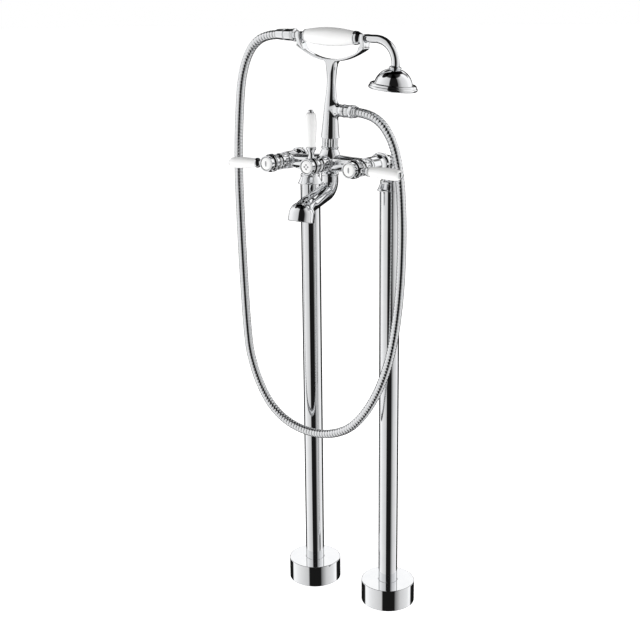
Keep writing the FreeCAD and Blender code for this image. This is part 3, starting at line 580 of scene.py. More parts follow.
def leg_tops():
    """Bell collars, elbows, union nuts and the trumpets over the mixer's inlet tails."""
    low = COLLAR_BOTTOM
    collar = [(LEG_RADIUS, low), (19.6, low, 0.5), (19.6, low + 1.3, 0.5), (18.3, low + 3.4, 1.5)]
    collar += [(16.4, low + 8, 3), (15, low + 12, 1.2), (15.7, low + 13.4, 0.5)]
    collar += [(15.7, low + 14.6, 0.6), (14.1, COLLAR_TOP, 0.5), (ELBOW_RADIUS, COLLAR_TOP)]
    collar += [(ELBOW_RADIUS, LEG_TOP), (LEG_RADIUS, LEG_TOP)]
    union_face = -ELBOW_BEND - NUT_WIDTH
    length = union_face - (BODY_Y + HOUSING_BACK)
    shroud = [(TAIL_RADIUS, 0), (17.3, 0, 0.5), (17.3, 1.6, 0.7), (14, 3.4, 2), (12.4, 6.5, 2)]
    shroud += [(11.5, length, 0.4), (TAIL_RADIUS, length)]
    runs = [("line", AXIS_HEIGHT - ELBOW_BEND - LEG_TOP), (90, ELBOW_BEND)]
    collars = []
    elbows = []
    nuts = []
    shrouds = []
    for x in LEGS.values():
        collars.append(turned_mesh(collar, (x, 0, 0), UP, sides=FINE, closed=True))
        elbows.append(tube_mesh(bent_line((x, 0, LEG_TOP), UP, SIDE, runs), ELBOW_RADIUS, SIDE))
        start = (x, -ELBOW_BEND, AXIS_HEIGHT)
        nuts.append(prism_mesh(NUT_ACROSS, 0, NUT_WIDTH, start, FRONT, NUT_CHAMFER, TAIL_RADIUS))
        place = (x, union_face, AXIS_HEIGHT)
        shrouds.append(turned_mesh(shroud, place, FRONT, sides=FINE, closed=True))
    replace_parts(add_object("collars", merged(collars)), "leg_collars")
    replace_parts(add_object("elbows", merged(elbows)), "leg_elbows")
    nut_piece = add_object("nuts", merged(nuts))
    soften(nut_piece, 0.35, 25)
    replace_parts(nut_piece, "union_nuts")
    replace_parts(add_object("shrouds", merged(shrouds)), "inlet_shrouds")


# ---- mixer ----
def valve_place(x):
    return Vector((x, BODY_Y, AXIS_HEIGHT))


def mixer():
    """Cast body: swelling cross tube, three valve housings, two inlet tails, dome and spout boss."""
    right_half = [(ARM_MIDDLE_RADIUS, 14), (11.9, 26), (10.9, 40), (ARM_RADIUS, 58), (ARM_RADIUS, LEG_X)]
    left_half = [(radius, -along) for radius, along in reversed(right_half)]
    outline = [(0, -LEG_X)] + left_half + right_half + [(0, LEG_X)]
    meshes = [turned_mesh(outline, BODY, SIDE, sides=FINE)]
    housing = [(0, -HOUSING_BACK), (9.5, -HOUSING_BACK, 1), (HOUSING_RADIUS, -HOUSING_BACK + 3.5, 3)]
    housing += [(HOUSING_RADIUS, 10, 1.5), (12.2, 12, 0.8), (HOUSING_RADIUS, 13.6, 0.5)]
    housing += [(HOUSING_RADIUS, HOUSING_FRONT, 0.5), (HOUSING_BORE, HOUSING_FRONT)]
    housing += [(HOUSING_BORE, HOUSING_BOTTOM), (0, HOUSING_BOTTOM)]
    for x in VALVES.values():
        meshes.append(turned_mesh(housing, valve_place(x), FRONT, sides=FINE))
    length = -BODY_Y - ELBOW_BEND
    tail = [(0, 0), (TAIL_RADIUS, 0), (TAIL_RADIUS, length), (0, length)]
    for x in LEGS.values():
        meshes.append(turned_mesh(tail, (x, -ELBOW_BEND, AXIS_HEIGHT), FRONT))
    dome = [(0, -6), (15.4, -6), (16.8, 0, 2), (16.8, 8, 2), (15.2, 15, 3), (12.6, 20, 1.5)]
    dome += [(12.1, 21, 0.4), (13.2, 22, 0.5), (13.2, RISER_NUT_BOTTOM, 0.4), (0, RISER_NUT_BOTTOM)]
    meshes.append(turned_mesh(dome, leaned(0, 0, 0), LIFT, sides=FINE))
    boss = [(0, 0), (11.4, 0), (11.4, -12.5, 2), (13.8, -15.8, 0.8), (13.8, -SPOUT_BOSS, 0.5)]
    boss.append((0, -SPOUT_BOSS))
    meshes.append(turned_mesh(boss, BODY, UP, sides=FINE))
    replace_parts(add_object("mixer", merged(meshes)), "mixer_body")


def bonnets():
    """Fluted bonnet and turned ring round each valve."""
    flats = [(BONNET_BORE, BONNET_BACK), (11.7, BONNET_BACK, 0.3), (11.7, 17.2, 0.3), (11.7, 24.8, 0.3)]
    flats += [(11.7, 26, 0.3), (11, BONNET_MIDDLE)]
    ring = [(BONNET_BORE, BONNET_MIDDLE), (12, BONNET_MIDDLE, 0.3), (12.6, 27, 0.5), (12.6, 31, 0.6)]
    ring += [(11, 32.4, 0.8), (9.3, BONNET_FRONT, 0.6), (BONNET_BORE, BONNET_FRONT)]
    options = {"sides": BONNET_FLUTES * SIDES_PER_FLUTE, "flutes": (BONNET_FLUTES, 1.1, 17.4, 24.6)}
    meshes = []
    for x in VALVES.values():
        meshes.append(turned_mesh(flats, valve_place(x), FRONT, closed=True, **options))
        meshes.append(turned_mesh(ring, valve_place(x), FRONT, sides=FINE, closed=True))
    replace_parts(add_object("bonnets", merged(meshes)), "valve_bonnets")


# ---- lever handles ----
def handle(name, x):
    """One lever handle: turned hub and ferrule, index disc, ceramic sleeve and end button."""
    body = name + "_handle"
    angle = math.radians(LEVER_ANGLES[name])
    outward = Vector((math.cos(angle), 0, math.sin(angle)))
    origin = valve_place(x)
    root = origin + FRONT * LEVER_STATION
    hub = [(HUB_BORE, HUB_BACK), (8.8, HUB_BACK, 0.4), (8.8, 40, 1.5), (11.2, 42.6, 1.2)]
    hub += [(13.8, 44.6, 0.7), (13.8, 48.6, 0.8), (12.9, 49.6, 0.3), (13.8, 50.4, 0.5)]
    hub += [(13.8, 51.5, 0.6), (11.3, 54.2, 1), (11.3, 55.2, 0.4), (12, 55.8, 0.4)]
    hub += [(12, HUB_FACE, 0.9), (10, HUB_FACE - 0.2, 0.1), (10, DISC_BACK), (HUB_BORE, DISC_BACK)]
    ferrule = [(0, 6), (6.4, 9), (5.6, 12.6), (4.3, 15.2), (4.2, 18), (5, 20.6), (6.6, 23.4)]
    ferrule = smooth_curve(ferrule + [(7.6, 25.2)], 5)
    ferrule += [(7.8, 26.4, 0.3), (7.8, 27.6, 0.4), (6.6, SLEEVE_START), (0, SLEEVE_START)]
    meshes = [turned_mesh(hub, origin, FRONT, sides=FINE, closed=True)]
    meshes.append(turned_mesh(ferrule, root, outward))
    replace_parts(add_object(name + "_hub_piece", merged(meshes), body), name + "_hub")
    sleeve = [(6.5, 28.6), (7, 34), (7.9, 44), (8.55, 55), (8.7, 64), (8.4, 71), (7.5, 76)]
    sleeve = [(SLEEVE_BORE, SLEEVE_START), (6, SLEEVE_START)] + smooth_curve(sleeve, 6)
    sleeve += [(6.3, 78.2, 0.9), (SLEEVE_BORE, SLEEVE_END)]
    piece = turned(name + "_sleeve", sleeve, root, outward, body, CERAMIC, "ceramic", closed=True)
    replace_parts(piece, name + "_lever")
    button = [(0, SLEEVE_START), (SLEEVE_BORE, SLEEVE_START), (SLEEVE_BORE, SLEEVE_END)]
    button += [(4.7, SLEEVE_END, 0.3), (4.7, 79.6, 0.5), (4.2, 81.4, 1.2)]
    button += [(2.6, LEVER_REACH - 0.2, 1), (0, LEVER_REACH)]
    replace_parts(turned(name + "_button", button, root, outward, body), name + "_lever_button")
    dome = [(0, DISC_BACK), (DISC_RADIUS, DISC_BACK), (DISC_RADIUS, HUB_FACE - 0.9, 0.6)]
    dome += [(7, HUB_FACE - 0.15, 2), (0, HUB_FACE)]
    piece = turned(name + "_disc", dome, origin, FRONT, body, CERAMIC, "ceramic")
    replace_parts(piece, name + "_index_disc")
    index_mark(name, origin, body)


def index_mark(name, origin, body):
    """Plain enamel mark, a short bar or four dots in the middle, and a near-black ring of painted shade
    in the gap round the index disc.
    """
    spots = BAR_MARK
    if name == "diverter":
        places = [polar(DOT_CIRCLE, angle) for angle in angles(DOT_COUNT)]
        spots = [(place.x, place.y, DOT_RADIUS, DOT_RADIUS) for place in places]
    meshes = []
    for across, up, *halves in spots:
        meshes.append(lozenge(origin + Vector((across, 0, up)) + FRONT * MARK_BACK, *halves))
    add_object(name + "_mark", merged(meshes), body, ENAMEL)
    # Painted shade: a near-black ring fills the narrow gap between the index disc and the hub, in place
    # of the shadow in that gap.
    shade_ring = [(DISC_RADIUS, DISC_BACK), (SHADE_RING_RADIUS, DISC_BACK), (SHADE_RING_RADIUS, SHADE_RING_FACE, 0.2)]
    shade_ring.append((DISC_RADIUS, SHADE_RING_FACE, 0.2))
    turned(name + "_seal", shade_ring, origin, FRONT, body, GAP_SHADE, "face_plastic", closed=True)


def lozenge(centre, half_width, half_height):
    """Flat rounded mark that faces the user."""
    top = MARK_THICKNESS + MARK_CROWN
    rings = []
    for depth, share in ((0, 1.0), (MARK_THICKNESS, 1.0), (top, MARK_CROWN_SHARE)):
        ring = []
        for angle in angles(MARK_SIDES):
            across = half_width * share * math.cos(angle)
            up = half_height * share * squared(math.sin(angle), MARK_SQUARENESS)
            ring.append(centre + Vector((across, -depth, up)))
        rings.append(ring)
    return skin(rings + [[centre + Vector((0, -top, 0))]])


# ---- spout ----
def spout():
    """Bent neck that runs into a round-shouldered, down-turned bell with a rolled lip."""
    line = bent_line(BODY - UP * SPOUT_BOSS, -UP, SIDE, SPOUT_RUNS, SPOUT_STEP)
    swell_start = len(line) - SPOUT_SWELL_STEPS - SPOUT_HIDDEN_STEPS
    neck = []
    for number, (point, heading) in enumerate(line[:-SPOUT_HIDDEN_STEPS]):
        swell = SPOUT_SWELL * eased(max(0, number - swell_start) / SPOUT_SWELL_STEPS)
        above = SIDE.cross(heading)
        above = above if above.z > 0 else -above
        neck.append((point + above * swell, heading, SPOUT_NECK_RADIUS + swell))
    shoulder = []
    for number in range(BELL_SHOULDER_STEPS + 1):
        angle = math.pi / 2 * number / BELL_SHOULDER_STEPS
        shoulder.append((BELL_RADIUS * math.sin(angle), -BELL_RADIUS * math.cos(angle)))
    wall = [(19.75, 3.5), (19.85, 8), (20, 9.6), (20, 10.4, 0.4), (19.4, 10.8, 0.3), (18, 10.6, 0.3)]
    hollow = [(17.5, 9.5), (17.2, 0), (14, -9.5), (8, -14.5), (0, -16.5)]
    down = (0, -math.sin(BELL_TILT), -math.cos(BELL_TILT))
    bell = turned_mesh(shoulder + wall + hollow, line[-1][0], down, sides=FINE)
    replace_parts(add_object("spout_piece", merged([swept_mesh(neck, SIDE), bell])), "spout")


# ---- riser and cradle ----
def riser():
    """Fluted nut, waisted column with a flat-sided flare, and the tee's stub for the hose."""
    origin = leaned(0, 0, 0)
    nut = [(RISER_NUT_BORE, RISER_NUT_BOTTOM), (12.1, RISER_NUT_BOTTOM, 0.4), (12.5, 25, 0.4)]
    nut += [(12.5, RISER_FOOT - 1, 0.4), (12, RISER_FOOT, 0.4), (RISER_NUT_BORE, RISER_FOOT)]
    flutes = (RISER_NUT_FLUTES, 0.9, 25.2, RISER_FOOT - 1.2)
    sides = RISER_NUT_FLUTES * SIDES_PER_FLUTE
    piece = turned("riser_nut_piece", nut, origin, LIFT, sides=sides, closed=True, flutes=flutes)
    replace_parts(piece, "riser_nut")
    foot = [(0, RISER_NUT_BOTTOM), (RISER_NUT_BORE, RISER_NUT_BOTTOM), (RISER_NUT_BORE, RISER_FOOT)]
    foot += [(14.4, RISER_FOOT, 0.3), (14.4, RISER_FOOT + 0.9, 0.4)]
    waist = [(14, RISER_FOOT + 1.6), (13, 50), (11.7, 65), (10.5, 80), (9.2, 94), (7.8, 106)]
    waist += [(7, 117), (7.1, 127), (8, 138), (9.6, 147), (12.6, 151.6)]
    flank = smooth_curve(waist, 6)
    column, faces = turned_mesh(foot + flank + [(0, 151.8)], origin, LIFT, sides=FINE)
    stub = [(0, TEE_ROOT_END), (TEE_RADIUS, TEE_ROOT_END), (TEE_RADIUS, 22.6, 0.4), (9.8, 23.4, 0.4)]
    stub += [(9.8, 26.2, 0.5), (9.2, TEE_END, 0.4), (0, TEE_END)]
    stub_mesh = turned_mesh(stub, leaned(0, 0, TEE_STATION), ALONG)
    meshes = [(flat_top(column), faces), stub_mesh, tee_root(flank)]
    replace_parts(add_object("riser_piece", merged(meshes)), "riser")


def flat_top(vertices):
    """The riser's flare cut flat at its front and back, as wide as the strap that sits on it."""
    down = LEAN.inverted()
    cut = []
    for vertex in vertices:
        place = down @ Vector(vertex)
        if place.z > FLARE_HEIGHT:
            place.y = max(-FLARE_HALF, min(FLARE_HALF, place.y))
        cut.append(LEAN @ place)
    return cut


def radius_at(outline, height):
    """Radius of a turned outline at one height, and its slope there."""
    for (low, below), (high, above) in zip(outline, outline[1:]):
        if below <= height <= above:
            slope = (high - low) / (above - below)
            return low + slope * (height - below), slope
    raise ValueError(height)


def tee_root(outline):
    """Root of the tee's stub, which flows into the riser in one curve all round."""
    rings = []
    for number in range(TEE_ROOT_STEPS + 1):
        share = number / TEE_ROOT_STEPS
        rest = 1 - share
        ring = []
        for angle in angles(FINE):
            across = TEE_FOOT_ACROSS * math.cos(angle)
            rise = (TEE_FOOT_ABOVE if angle < math.pi else TEE_FOOT_BELOW) * math.sin(angle)
            radius, slope = radius_at(outline, TEE_STATION + rise)
            foot = Vector((math.sqrt(radius ** 2 - across ** 2), across, rise))
            normal = Vector((foot.x, foot.y, -radius * slope)).normalized()
            stub = Vector((TEE_ROOT_END, TEE_RADIUS * math.cos(angle), TEE_RADIUS * math.sin(angle)))
            chord = stub - foot
            pull = (chord - normal * chord.dot(normal)).normalized()
            first = foot + pull * chord.dot(pull) * ARC_HANDLE
            second = stub - SIDE * (stub.x - foot.x) * ARC_HANDLE
            spot = foot * rest ** 3 + first * 3 * share * rest ** 2
            spot = spot + second * 3 * share ** 2 * rest + stub * share ** 3
            ring.append(leaned(spot.x, spot.y, TEE_STATION + spot.z))
        rings.append(ring)
    return skin(rings)


def cradle():
    """Bowed strap with rounded edges that carries a U shaped yoke at each end."""
    half = CRADLE_THICKNESS / 2
    centre = Vector((0, 0, RISER_TOP + CRADLE_RADIUS))
    middle = CRADLE_RADIUS - half
    reach = math.asin((YOKE_SPREAD + CRADLE_OVERHANG) / middle)
    rings = []
    for number in range(CRADLE_STEPS + 1):
        angle = -reach + 2 * reach * number / CRADLE_STEPS
        radial = Vector((math.sin(angle), 0, -math.cos(angle)))
        widen = max(0, abs(angle) / reach - CRADLE_WIDENS_FROM) / (1 - CRADLE_WIDENS_FROM)
        width = CRADLE_HALF_WIDTH + CRADLE_WIDENING * eased(widen)
        ring = []
        for corner in range(CRADLE_SIDES):
            turn = 2 * math.pi * (corner + 0.5) / CRADLE_SIDES
            side = squared(math.cos(turn), CRADLE_SIDE_POWER) * width
            out = squared(math.sin(turn), CRADLE_FACE_POWER) * half
            ring.append(leaned(*(centre + radial * middle + radial * out + Vector((0, side, 0)))))
        rings.append(ring)
    start, end = (sum(ring, Vector()) / CRADLE_SIDES for ring in (rings[0], rings[-1]))
    strap = skin([[start]] + rings + [[end]])
    piece = add_object("cradle_piece", merged([strap, yoke_mesh(-YOKE_SPREAD), yoke_mesh(YOKE_SPREAD)]))
    soften(piece, 0.7, 40)
    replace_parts(piece, "cradle")


def yoke_mesh(x):
    """U shaped yoke, open upwards, on a foot that spreads inwards along the strap."""
    inside = [(-YOKE_BORE, YOKE_RISE), (-YOKE_BORE, YOKE_RISE * 0.5)]
    outside = [(-YOKE_OUTER, YOKE_RISE), (-YOKE_OUTER, YOKE_RISE * 0.5)]
    for number in range(YOKE_STEPS + 1):
        angle = math.pi + math.pi * number / YOKE_STEPS
        across = math.cos(angle)
        inside.append((YOKE_BORE * across, YOKE_BORE * math.sin(angle)))
        low = YOKE_OUTER * math.sin(angle)
        if abs(across) < YOKE_FOOT_SHARE:
            blend = min(1.0, (YOKE_FOOT_SHARE - abs(across)) / YOKE_FOOT_BLEND)
            low = low * (1 - blend) + YOKE_FOOT * blend
        outside.append((YOKE_OUTER * across, low))
    inside += [(YOKE_BORE, YOKE_RISE * 0.5), (YOKE_BORE, YOKE_RISE)]
    outside += [(YOKE_OUTER, YOKE_RISE * 0.5), (YOKE_OUTER, YOKE_RISE)]
    inward = -math.copysign(1, x)
    rings = []
    for inner, outer in zip(inside, outside):
        ring = []
        for (across, up), end in ((inner, -1), (outer, -1), (outer, 1), (inner, 1)):
            spread = max(0, -up - FOOT_NECK) / (-YOKE_FOOT - FOOT_NECK) if end == inward else 0
            along = x + end * YOKE_THICKNESS / 2 + inward * FOOT_SPREAD * spread
            ring.append(leaned(along, across, HANDSET_STATION + up - FOOT_DROP * spread))
        rings.append(ring)
    vertices, faces = skin(rings)
    corners = list(range(len(vertices)))
    return vertices, faces + [corners[:4], corners[:-5:-1]]


# ---- handset and hose nuts ----
def hose_nuts():
    """Swivel nuts that hold the hose at the tee and at the handset."""
    tee = [(0, TEE_END), (8.2, TEE_END), (8.2, 28, 0.2), (9.3, 28.4, 0.4), (9.3, 32.6, 0.5)]
    tee += [(8.7, 34.2, 0.8), (8.7, 42.4, 0.3), (9.2, 43, 0.3), (9.2, 44.4, 0.4), (8.3, 45, 0.4)]
    tee += [(HOSE_SLEEVE + 0.8, 47.5, 0.3), (HOSE_SLEEVE, 47.5), (HOSE_SLEEVE, 35), (0, 35)]
    place = leaned(0, 0, TEE_STATION)
    spanner_ring = prism_mesh(19.0, 35.4, 41.6, place, ALONG, 1.0, HOSE_SLEEVE)
    piece = add_object("tee_nut_piece", merged([turned_mesh(tee, place, ALONG), spanner_ring]))
    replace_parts(piece, "hose_nut_tee")
    top = [(0, INLET_END), (9, INLET_END, 0.4), (9.4, -70.6, 0.4), (9.4, -72, 0.4)]
    top += [(8.5, -72.6, 0.3), (8.9, -73.4, 0.3), (8.8, -84.6, 0.4), (7.5, -85.2, 0.2)]
    top += [(7.5, -86.2, 0.2), (8.8, -86.8, 0.4), (8.5, -90, 1), (7.7, -100.6, 0.3)]
    top += [(HOSE_SLEEVE, -101.2), (HOSE_SLEEVE, -88), (0, -88)]
    piece = turned("handset_nut_piece", top, leaned(0, 0, HANDSET_STATION), ALONG, "handset")
    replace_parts(piece, "hose_nut_handset")


def handset():
    """Inlet, ceramic grip, gooseneck and rose along the handset's axis."""
    origin = leaned(0, 0, HANDSET_STATION)
    inlet = [(0, INLET_END), (9.2, INLET_END, 0.3), (9.9, -69, 0.5), (9.9, -67.4, 0.6)]
    inlet += [(8.2, -66.5, 0.6), (6.4, -65.2, 1), (6, -62, 1), (6, -56, 1.5)]
    inlet += [(6, -50.5, 1), (7.2, -49.5, 0.8), (9.6, -49, 0.4), (9.9, -48, 0.4)]
    inlet += [(9.8, GRIP_START), (0, GRIP_START)]
    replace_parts(turned("inlet_piece", inlet, origin, ALONG, "handset"), "handset_inlet")
    grip = [(9.3, -46.7), (10.5, -41.7), (11.9, -31.9), (13, -20), (13.55, -6.5), (13.3, 6.5)]
    grip += [(12.3, 19), (10.8, 30.8), (9.3, 39.1)]
    grip = [(0, GRIP_START), (GRIP_END_RADIUS, GRIP_START)] + smooth_curve(grip, 8)
    grip += [(GRIP_END_RADIUS, GRIP_END), (0, GRIP_END)]
    piece = turned("grip_piece", grip, origin, ALONG, "handset", CERAMIC, "ceramic", sides=FINE)
    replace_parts(piece, "handset_grip")
    neck_and_ferrule(origin)
    rose()


def gooseneck_line(start):
    return bent_line(start, ALONG, FRONT, NECK_RUNS)


def neck_and_ferrule(origin):
    line = gooseneck_line(origin + ALONG * NECK_START)
    neck = tube_mesh(line, NECK_RADIUS, FRONT)
    ferrule = [(0, GRIP_END), (9.8, GRIP_END, 0.3), (10.2, 40.1, 0.4), (10.2, 41.6, 0.5)]
    ferrule += [(9.5, 42.5, 0.4), (10, 43.4, 0.4), (9.6, 45.4, 1), (7.6, 49.2, 2)]
    ferrule += [(6.5, 52.4, 0.8), (NECK_RADIUS, NECK_START), (0, NECK_START)]
    meshes = [neck, turned_mesh(ferrule, origin, ALONG, sides=FINE)]
    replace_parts(add_object("gooseneck_piece", merged(meshes), "handset"), "handset_gooseneck")


def rose():
    """Domed rose with a beaded collar and a rolled, flared brim; nozzles stand on its face."""
    point, heading = gooseneck_line(leaned(NECK_START, 0, HANDSET_STATION))[-1]
    collar = [(0, 0), (6.2, 0), (7.6, 0.1, 0.6), (9.4, 1.6, 1.2), (9.2, 3, 0.8), (7.4, 3.8, 0.4)]
    dome = [(7.6, 4), (12.5, 5.2), (18.5, 8.8), (23.4, 14), (26.6, 20), (28, 25.2)]
    brim = [(28.4, 26.3, 0.2), (29, 25.3, 0.5), (30.4, 24.4, 0.9), (32.4, 24.4, 1.2)]
    brim += [(34.1, 26, 1.4), (34.5, 28.3, 0.6), (35.4, 29, 0.5), (35.8, 30.4, 0.7)]
    brim += [(35.7, 32, 0.8), (34.6, 33, 0.5), (ROSE_FACE_RADIUS, 33)]
    brim += [(ROSE_FACE_RADIUS, ROSE_FACE_BACK), (0, ROSE_FACE_BACK)]
    outline = collar + smooth_curve(dome, 6) + brim
    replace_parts(turned("rose_piece", outline, point, heading, "handset", sides=FINEST), "rose_shell")
    face = [(0, ROSE_FACE_BACK), (ROSE_FACE_RADIUS, ROSE_FACE_BACK), (ROSE_FACE_RADIUS, 31.6, 0.3)]
    face += [(32.2, 32.4, 0.6), (12, 32.5), (0, 32.5)]
    nozzle = [(0, 32.2), (1.3, 32.2), (1.15, 33.3, 0.2), (0.8, 33.6, 0.2), (0.5, 33.1), (0, 33)]
    meshes = [turned_mesh(face, point, heading, sides=FINE)]
    turn = turn_to(heading)
    for radius, count in NOZZLE_CIRCLES:
        for angle in angles(count):
            place = point + turn @ polar(radius, angle)
            meshes.append(turned_mesh(nozzle, place, heading, sides=NOZZLE_SIDES))
    piece = add_object("spray_face", merged(meshes), "handset", GREY_PLASTIC)
    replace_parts(piece, "rose_face")


# ---- hose ----
HOSE_ROUTE = [
    (-113, 931), (-146, 912.6), (-165, 873), (-172.5, 822), (-178.8, 732), (-177.2, 634),
    (-174.2, 540), (-170.6, 462), (-165, 404), (-137, 339), (-98, 304.4), (-47, 292),
    (2, 298), (46, 322.5), (86, 380), (112.5, 452), (126.2, 545), (129.8, 640),
    (126.4, 712), (118.6, 759), (107.8, 785.4), (90.6, 806.6), (64.5, 817.6),
]
HOSE_AT_HANDSET = leaned(-85, 0, HANDSET_STATION)
HOSE_AT_TEE = leaned(34.6, 0, TEE_STATION)
CURVE_STEPS = 48


def route_points():
    """Points along the hose's smooth line, from the handset to the tee."""
    curve = bpy.data.curves.new("hose_route", "CURVE")
    curve.dimensions = "3D"
    curve.resolution_u = CURVE_STEPS
    spline = curve.splines.new("NURBS")
    points = [HOSE_AT_HANDSET] + [Vector((x, BODY_Y, z)) for x, z in HOSE_ROUTE] + [HOSE_AT_TEE]
    spline.points.add(len(points) - 1)
    for target, point in zip(spline.points, points):
        target.co = (*(point * MM), 1)
    spline.order_u = 3
    spline.use_endpoint_u = True
    holder = bpy.data.objects.new("hose_route", curve)
    bpy.context.scene.collection.objects.link(holder)
    line = bpy.data.meshes.new_from_object(holder)
    found = [vertex.co / MM for vertex in line.vertices]
    bpy.data.objects.remove(holder)
    bpy.data.meshes.remove(line)
    return found


def walk(points, step):
    """Evenly spaced (point, direction) along a line of points, and the line's length."""
    lengths = [(b - a).length for a, b in zip(points, points[1:])]
    total = sum(lengths)
    count = round(total / step)
    stations = []
    index = 0
    passed = 0.0
    for number in range(count + 1):
        distance = min(total * number / count, total - END_MARGIN)
        while passed + lengths[index] < distance and index < len(lengths) - 1:
            passed += lengths[index]
            index += 1
        share = (distance - passed) / lengths[index]
        heading = (points[index + 1] - points[index]).normalized()
        stations.append((points[index].lerp(points[index + 1], share), heading))
    return stations, total


def hose():
    """Interlocked strip hose: rounded ribs with narrow grooves between them."""
    stations, total = walk(route_points(), HOSE_PITCH / len(HOSE_RIB))
    tube = []
    for number, (point, heading) in enumerate(stations):
        tube.append((point, heading, HOSE_RIB[number % len(HOSE_RIB)]))
    piece = add_object("hose_piece", swept_mesh(tube, FRONT, HOSE_SIDES), None, HOSE_METAL)
    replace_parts(piece, "hose")
    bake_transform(piece)


# ---- carried-over pieces ----
def dress_carried_nodes():
    finishes = {
        "floor_plates": STEEL, "supply_pipe_hot": COPPER, "supply_pipe_cold": COPPER,
        "valve_cartridges": BRASS, "flow_straightener": GREY_PLASTIC,
        "hot_spindle": BRASS, "cold_spindle": BRASS, "diverter_spindle": BRASS,
    }
    for name, finish in finishes.items():
        node = frame["nodes"][name]
        node.data.materials.clear()
        node.data.materials.append(finish)


# ---- camera and floor ----
CAMERA_PLACE = Vector((957.4, -1451.1, 955.3))
CAMERA_RIGHT = Vector((0.8208, 0.5713, -0.0108))
CAMERA_UP = Vector((-0.1423, 0.2226, 0.9646))
CAMERA_AZIMUTH = math.degrees(math.atan2(CAMERA_PLACE.y, CAMERA_PLACE.x))
FOCAL_PIXELS = 1109.1
FRAME_PIXELS = 640
SENSOR = 36.0
CLIP_END = 200
FLOOR_REACH = 90.0
FLOOR_GLOW = 0.85


def camera():
    data = bpy.data.cameras.new("photo_camera")
    data.sensor_width = SENSOR
    data.lens = SENSOR * FOCAL_PIXELS / FRAME_PIXELS
    data.clip_end = CLIP_END
    placed = bpy.data.objects.new("photo_camera", data)
    back = CAMERA_RIGHT.cross(CAMERA_UP).normalized()
    up = back.cross(CAMERA_RIGHT).normalized()
    turn = Matrix((CAMERA_RIGHT.normalized(), up, back)).transposed().to_4x4()
    placed.matrix_world = Matrix.Translation(CAMERA_PLACE * MM) @ turn
    bpy.context.scene.collection.objects.link(placed)
    bpy.context.scene.camera = placed


def floor():
    """Wide pale floor, bright enough to run into the white world without a horizon."""
    mesh = bpy.data.meshes.new("floor")
    corners = [(x * FLOOR_REACH, y * FLOOR_REACH, 0) for x, y in ((-1, -1), (1, -1), (1, 1), (-1, 1))]
    mesh.from_pydata(corners, [], [(0, 1, 2, 3)])
    made, tree, shader = material("pale_floor", (0.93, 0.93, 0.93), metallic=0.0, roughness=0.8)
    shader.inputs["Emission Color"].default_value = (1, 1, 1, 1)
    shader.inputs["Emission Strength"].default_value = FLOOR_GLOW
    grain = add_noise(tree, scale=3, detail=2)
    tint(tree, shader, grain, dark=(0.925, 0.925, 0.925), light=(0.94, 0.94, 0.94))
    mesh.materials.append(made)
    plane = bpy.data.objects.new("floor", mesh)
    plane.visible_glossy = False
    bpy.context.scene.collection.objects.link(plane)


# ---- studio that the chrome mirrors ----
# brightness of the walls as the picture shows them
WHITE_WALL = 0.97
GREY_WALL = 0.45
DARK_WALL = 0.12
WALL_GAMMA = 2.2
WALL_GAIN = 1.12

# walls round the object, as (degrees to the right of the camera, brightness)
FRONT_WALLS = [(-98, 0.95), (-72, 0.87), (-29, 0.76), (-24, DARK_WALL), (27, DARK_WALL)]
FRONT_WALLS += [(31, GREY_WALL), (54, 0.78), (90, 0.88), (104, 0.96)]
LOW_WALLS = [(-179.9, DARK_WALL), (-121, DARK_WALL), (-114, WHITE_WALL)] + FRONT_WALLS
LOW_WALLS += [(112, WHITE_WALL), (118, DARK_WALL), (179.9, DARK_WALL)]
MIDDLE_WALLS = [(-179.9, DARK_WALL), (-150, DARK_WALL), (-144, WHITE_WALL)] + FRONT_WALLS
MIDDLE_WALLS += [(144, WHITE_WALL), (150, DARK_WALL), (179.9, DARK_WALL)]
HIGH_WALLS = [(-179.9, WHITE_WALL), (-150, WHITE_WALL), (-142, GREY_WALL), (-130, GREY_WALL)]
HIGH_WALLS += [(-124, WHITE_WALL)] + FRONT_WALLS + [(124, WHITE_WALL), (130, GREY_WALL)]
HIGH_WALLS += [(142, GREY_WALL), (150, WHITE_WALL), (179.9, WHITE_WALL)]

# z of the directions where one set of walls gives way to the next
LOW_TO_MIDDLE = (-0.14, 0.02)
MIDDLE_TO_HIGH = (0.395, 0.425)
# brightness from straight down to straight up, as (share of the way, factor)
HEIGHT_STOPS = [(0.0, 0.9), (0.3, 1.0), (0.915, 1.0), (0.94, 0.05), (1.0, 0.01)]
# dark flags hung over the object, as (degrees to the right of the camera, elevation, radius)
FLAGS = [(180, 62, 32), (-106, 58, 17)]
FLAG_EDGE = 3
FLAG_BRIGHTNESS = 0.015
MIRRORED_STRENGTH = 1.05

# sockets of a Mix node that mixes colours
MIX_SHARE = 0
MIX_FIRST = 6
MIX_SECOND = 7
MIX_RESULT = 2


def combined(tree, first, second, share=None):
    """Mix of two colours by a share, or without a share their product."""
    node = tree.nodes.new("ShaderNodeMix")
    node.data_type = "RGBA"
    if share is None:
        node.blend_type = "MULTIPLY"
        node.inputs[MIX_SHARE].default_value = 1
    else:
        tree.links.new(share, node.inputs[MIX_SHARE])
    tree.links.new(first, node.inputs[MIX_FIRST])
    tree.links.new(second, node.inputs[MIX_SECOND])
    return node.outputs[MIX_RESULT]


def grey_ramp(tree, source, stops):
    return ramp(tree, source, [(position, (value,) * 3) for position, value in stops])


def sky_direction(turned_by, height):
    """Direction in degrees to the right of the camera and above the horizon."""
    around = math.radians(CAMERA_AZIMUTH + turned_by)
    level = math.cos(math.radians(height))
    return Vector((level * math.cos(around), level * math.sin(around), math.sin(math.radians(height))))


def azimuth_stops(walls):
    """Ramp positions round the horizon for a list of wall brightnesses."""
    stops = []
    for degrees, value in walls:
        position = ((CAMERA_AZIMUTH + degrees + 180) % 360) / 360
        stops.append((position, value ** WALL_GAMMA * WALL_GAIN))
    return sorted(stops)


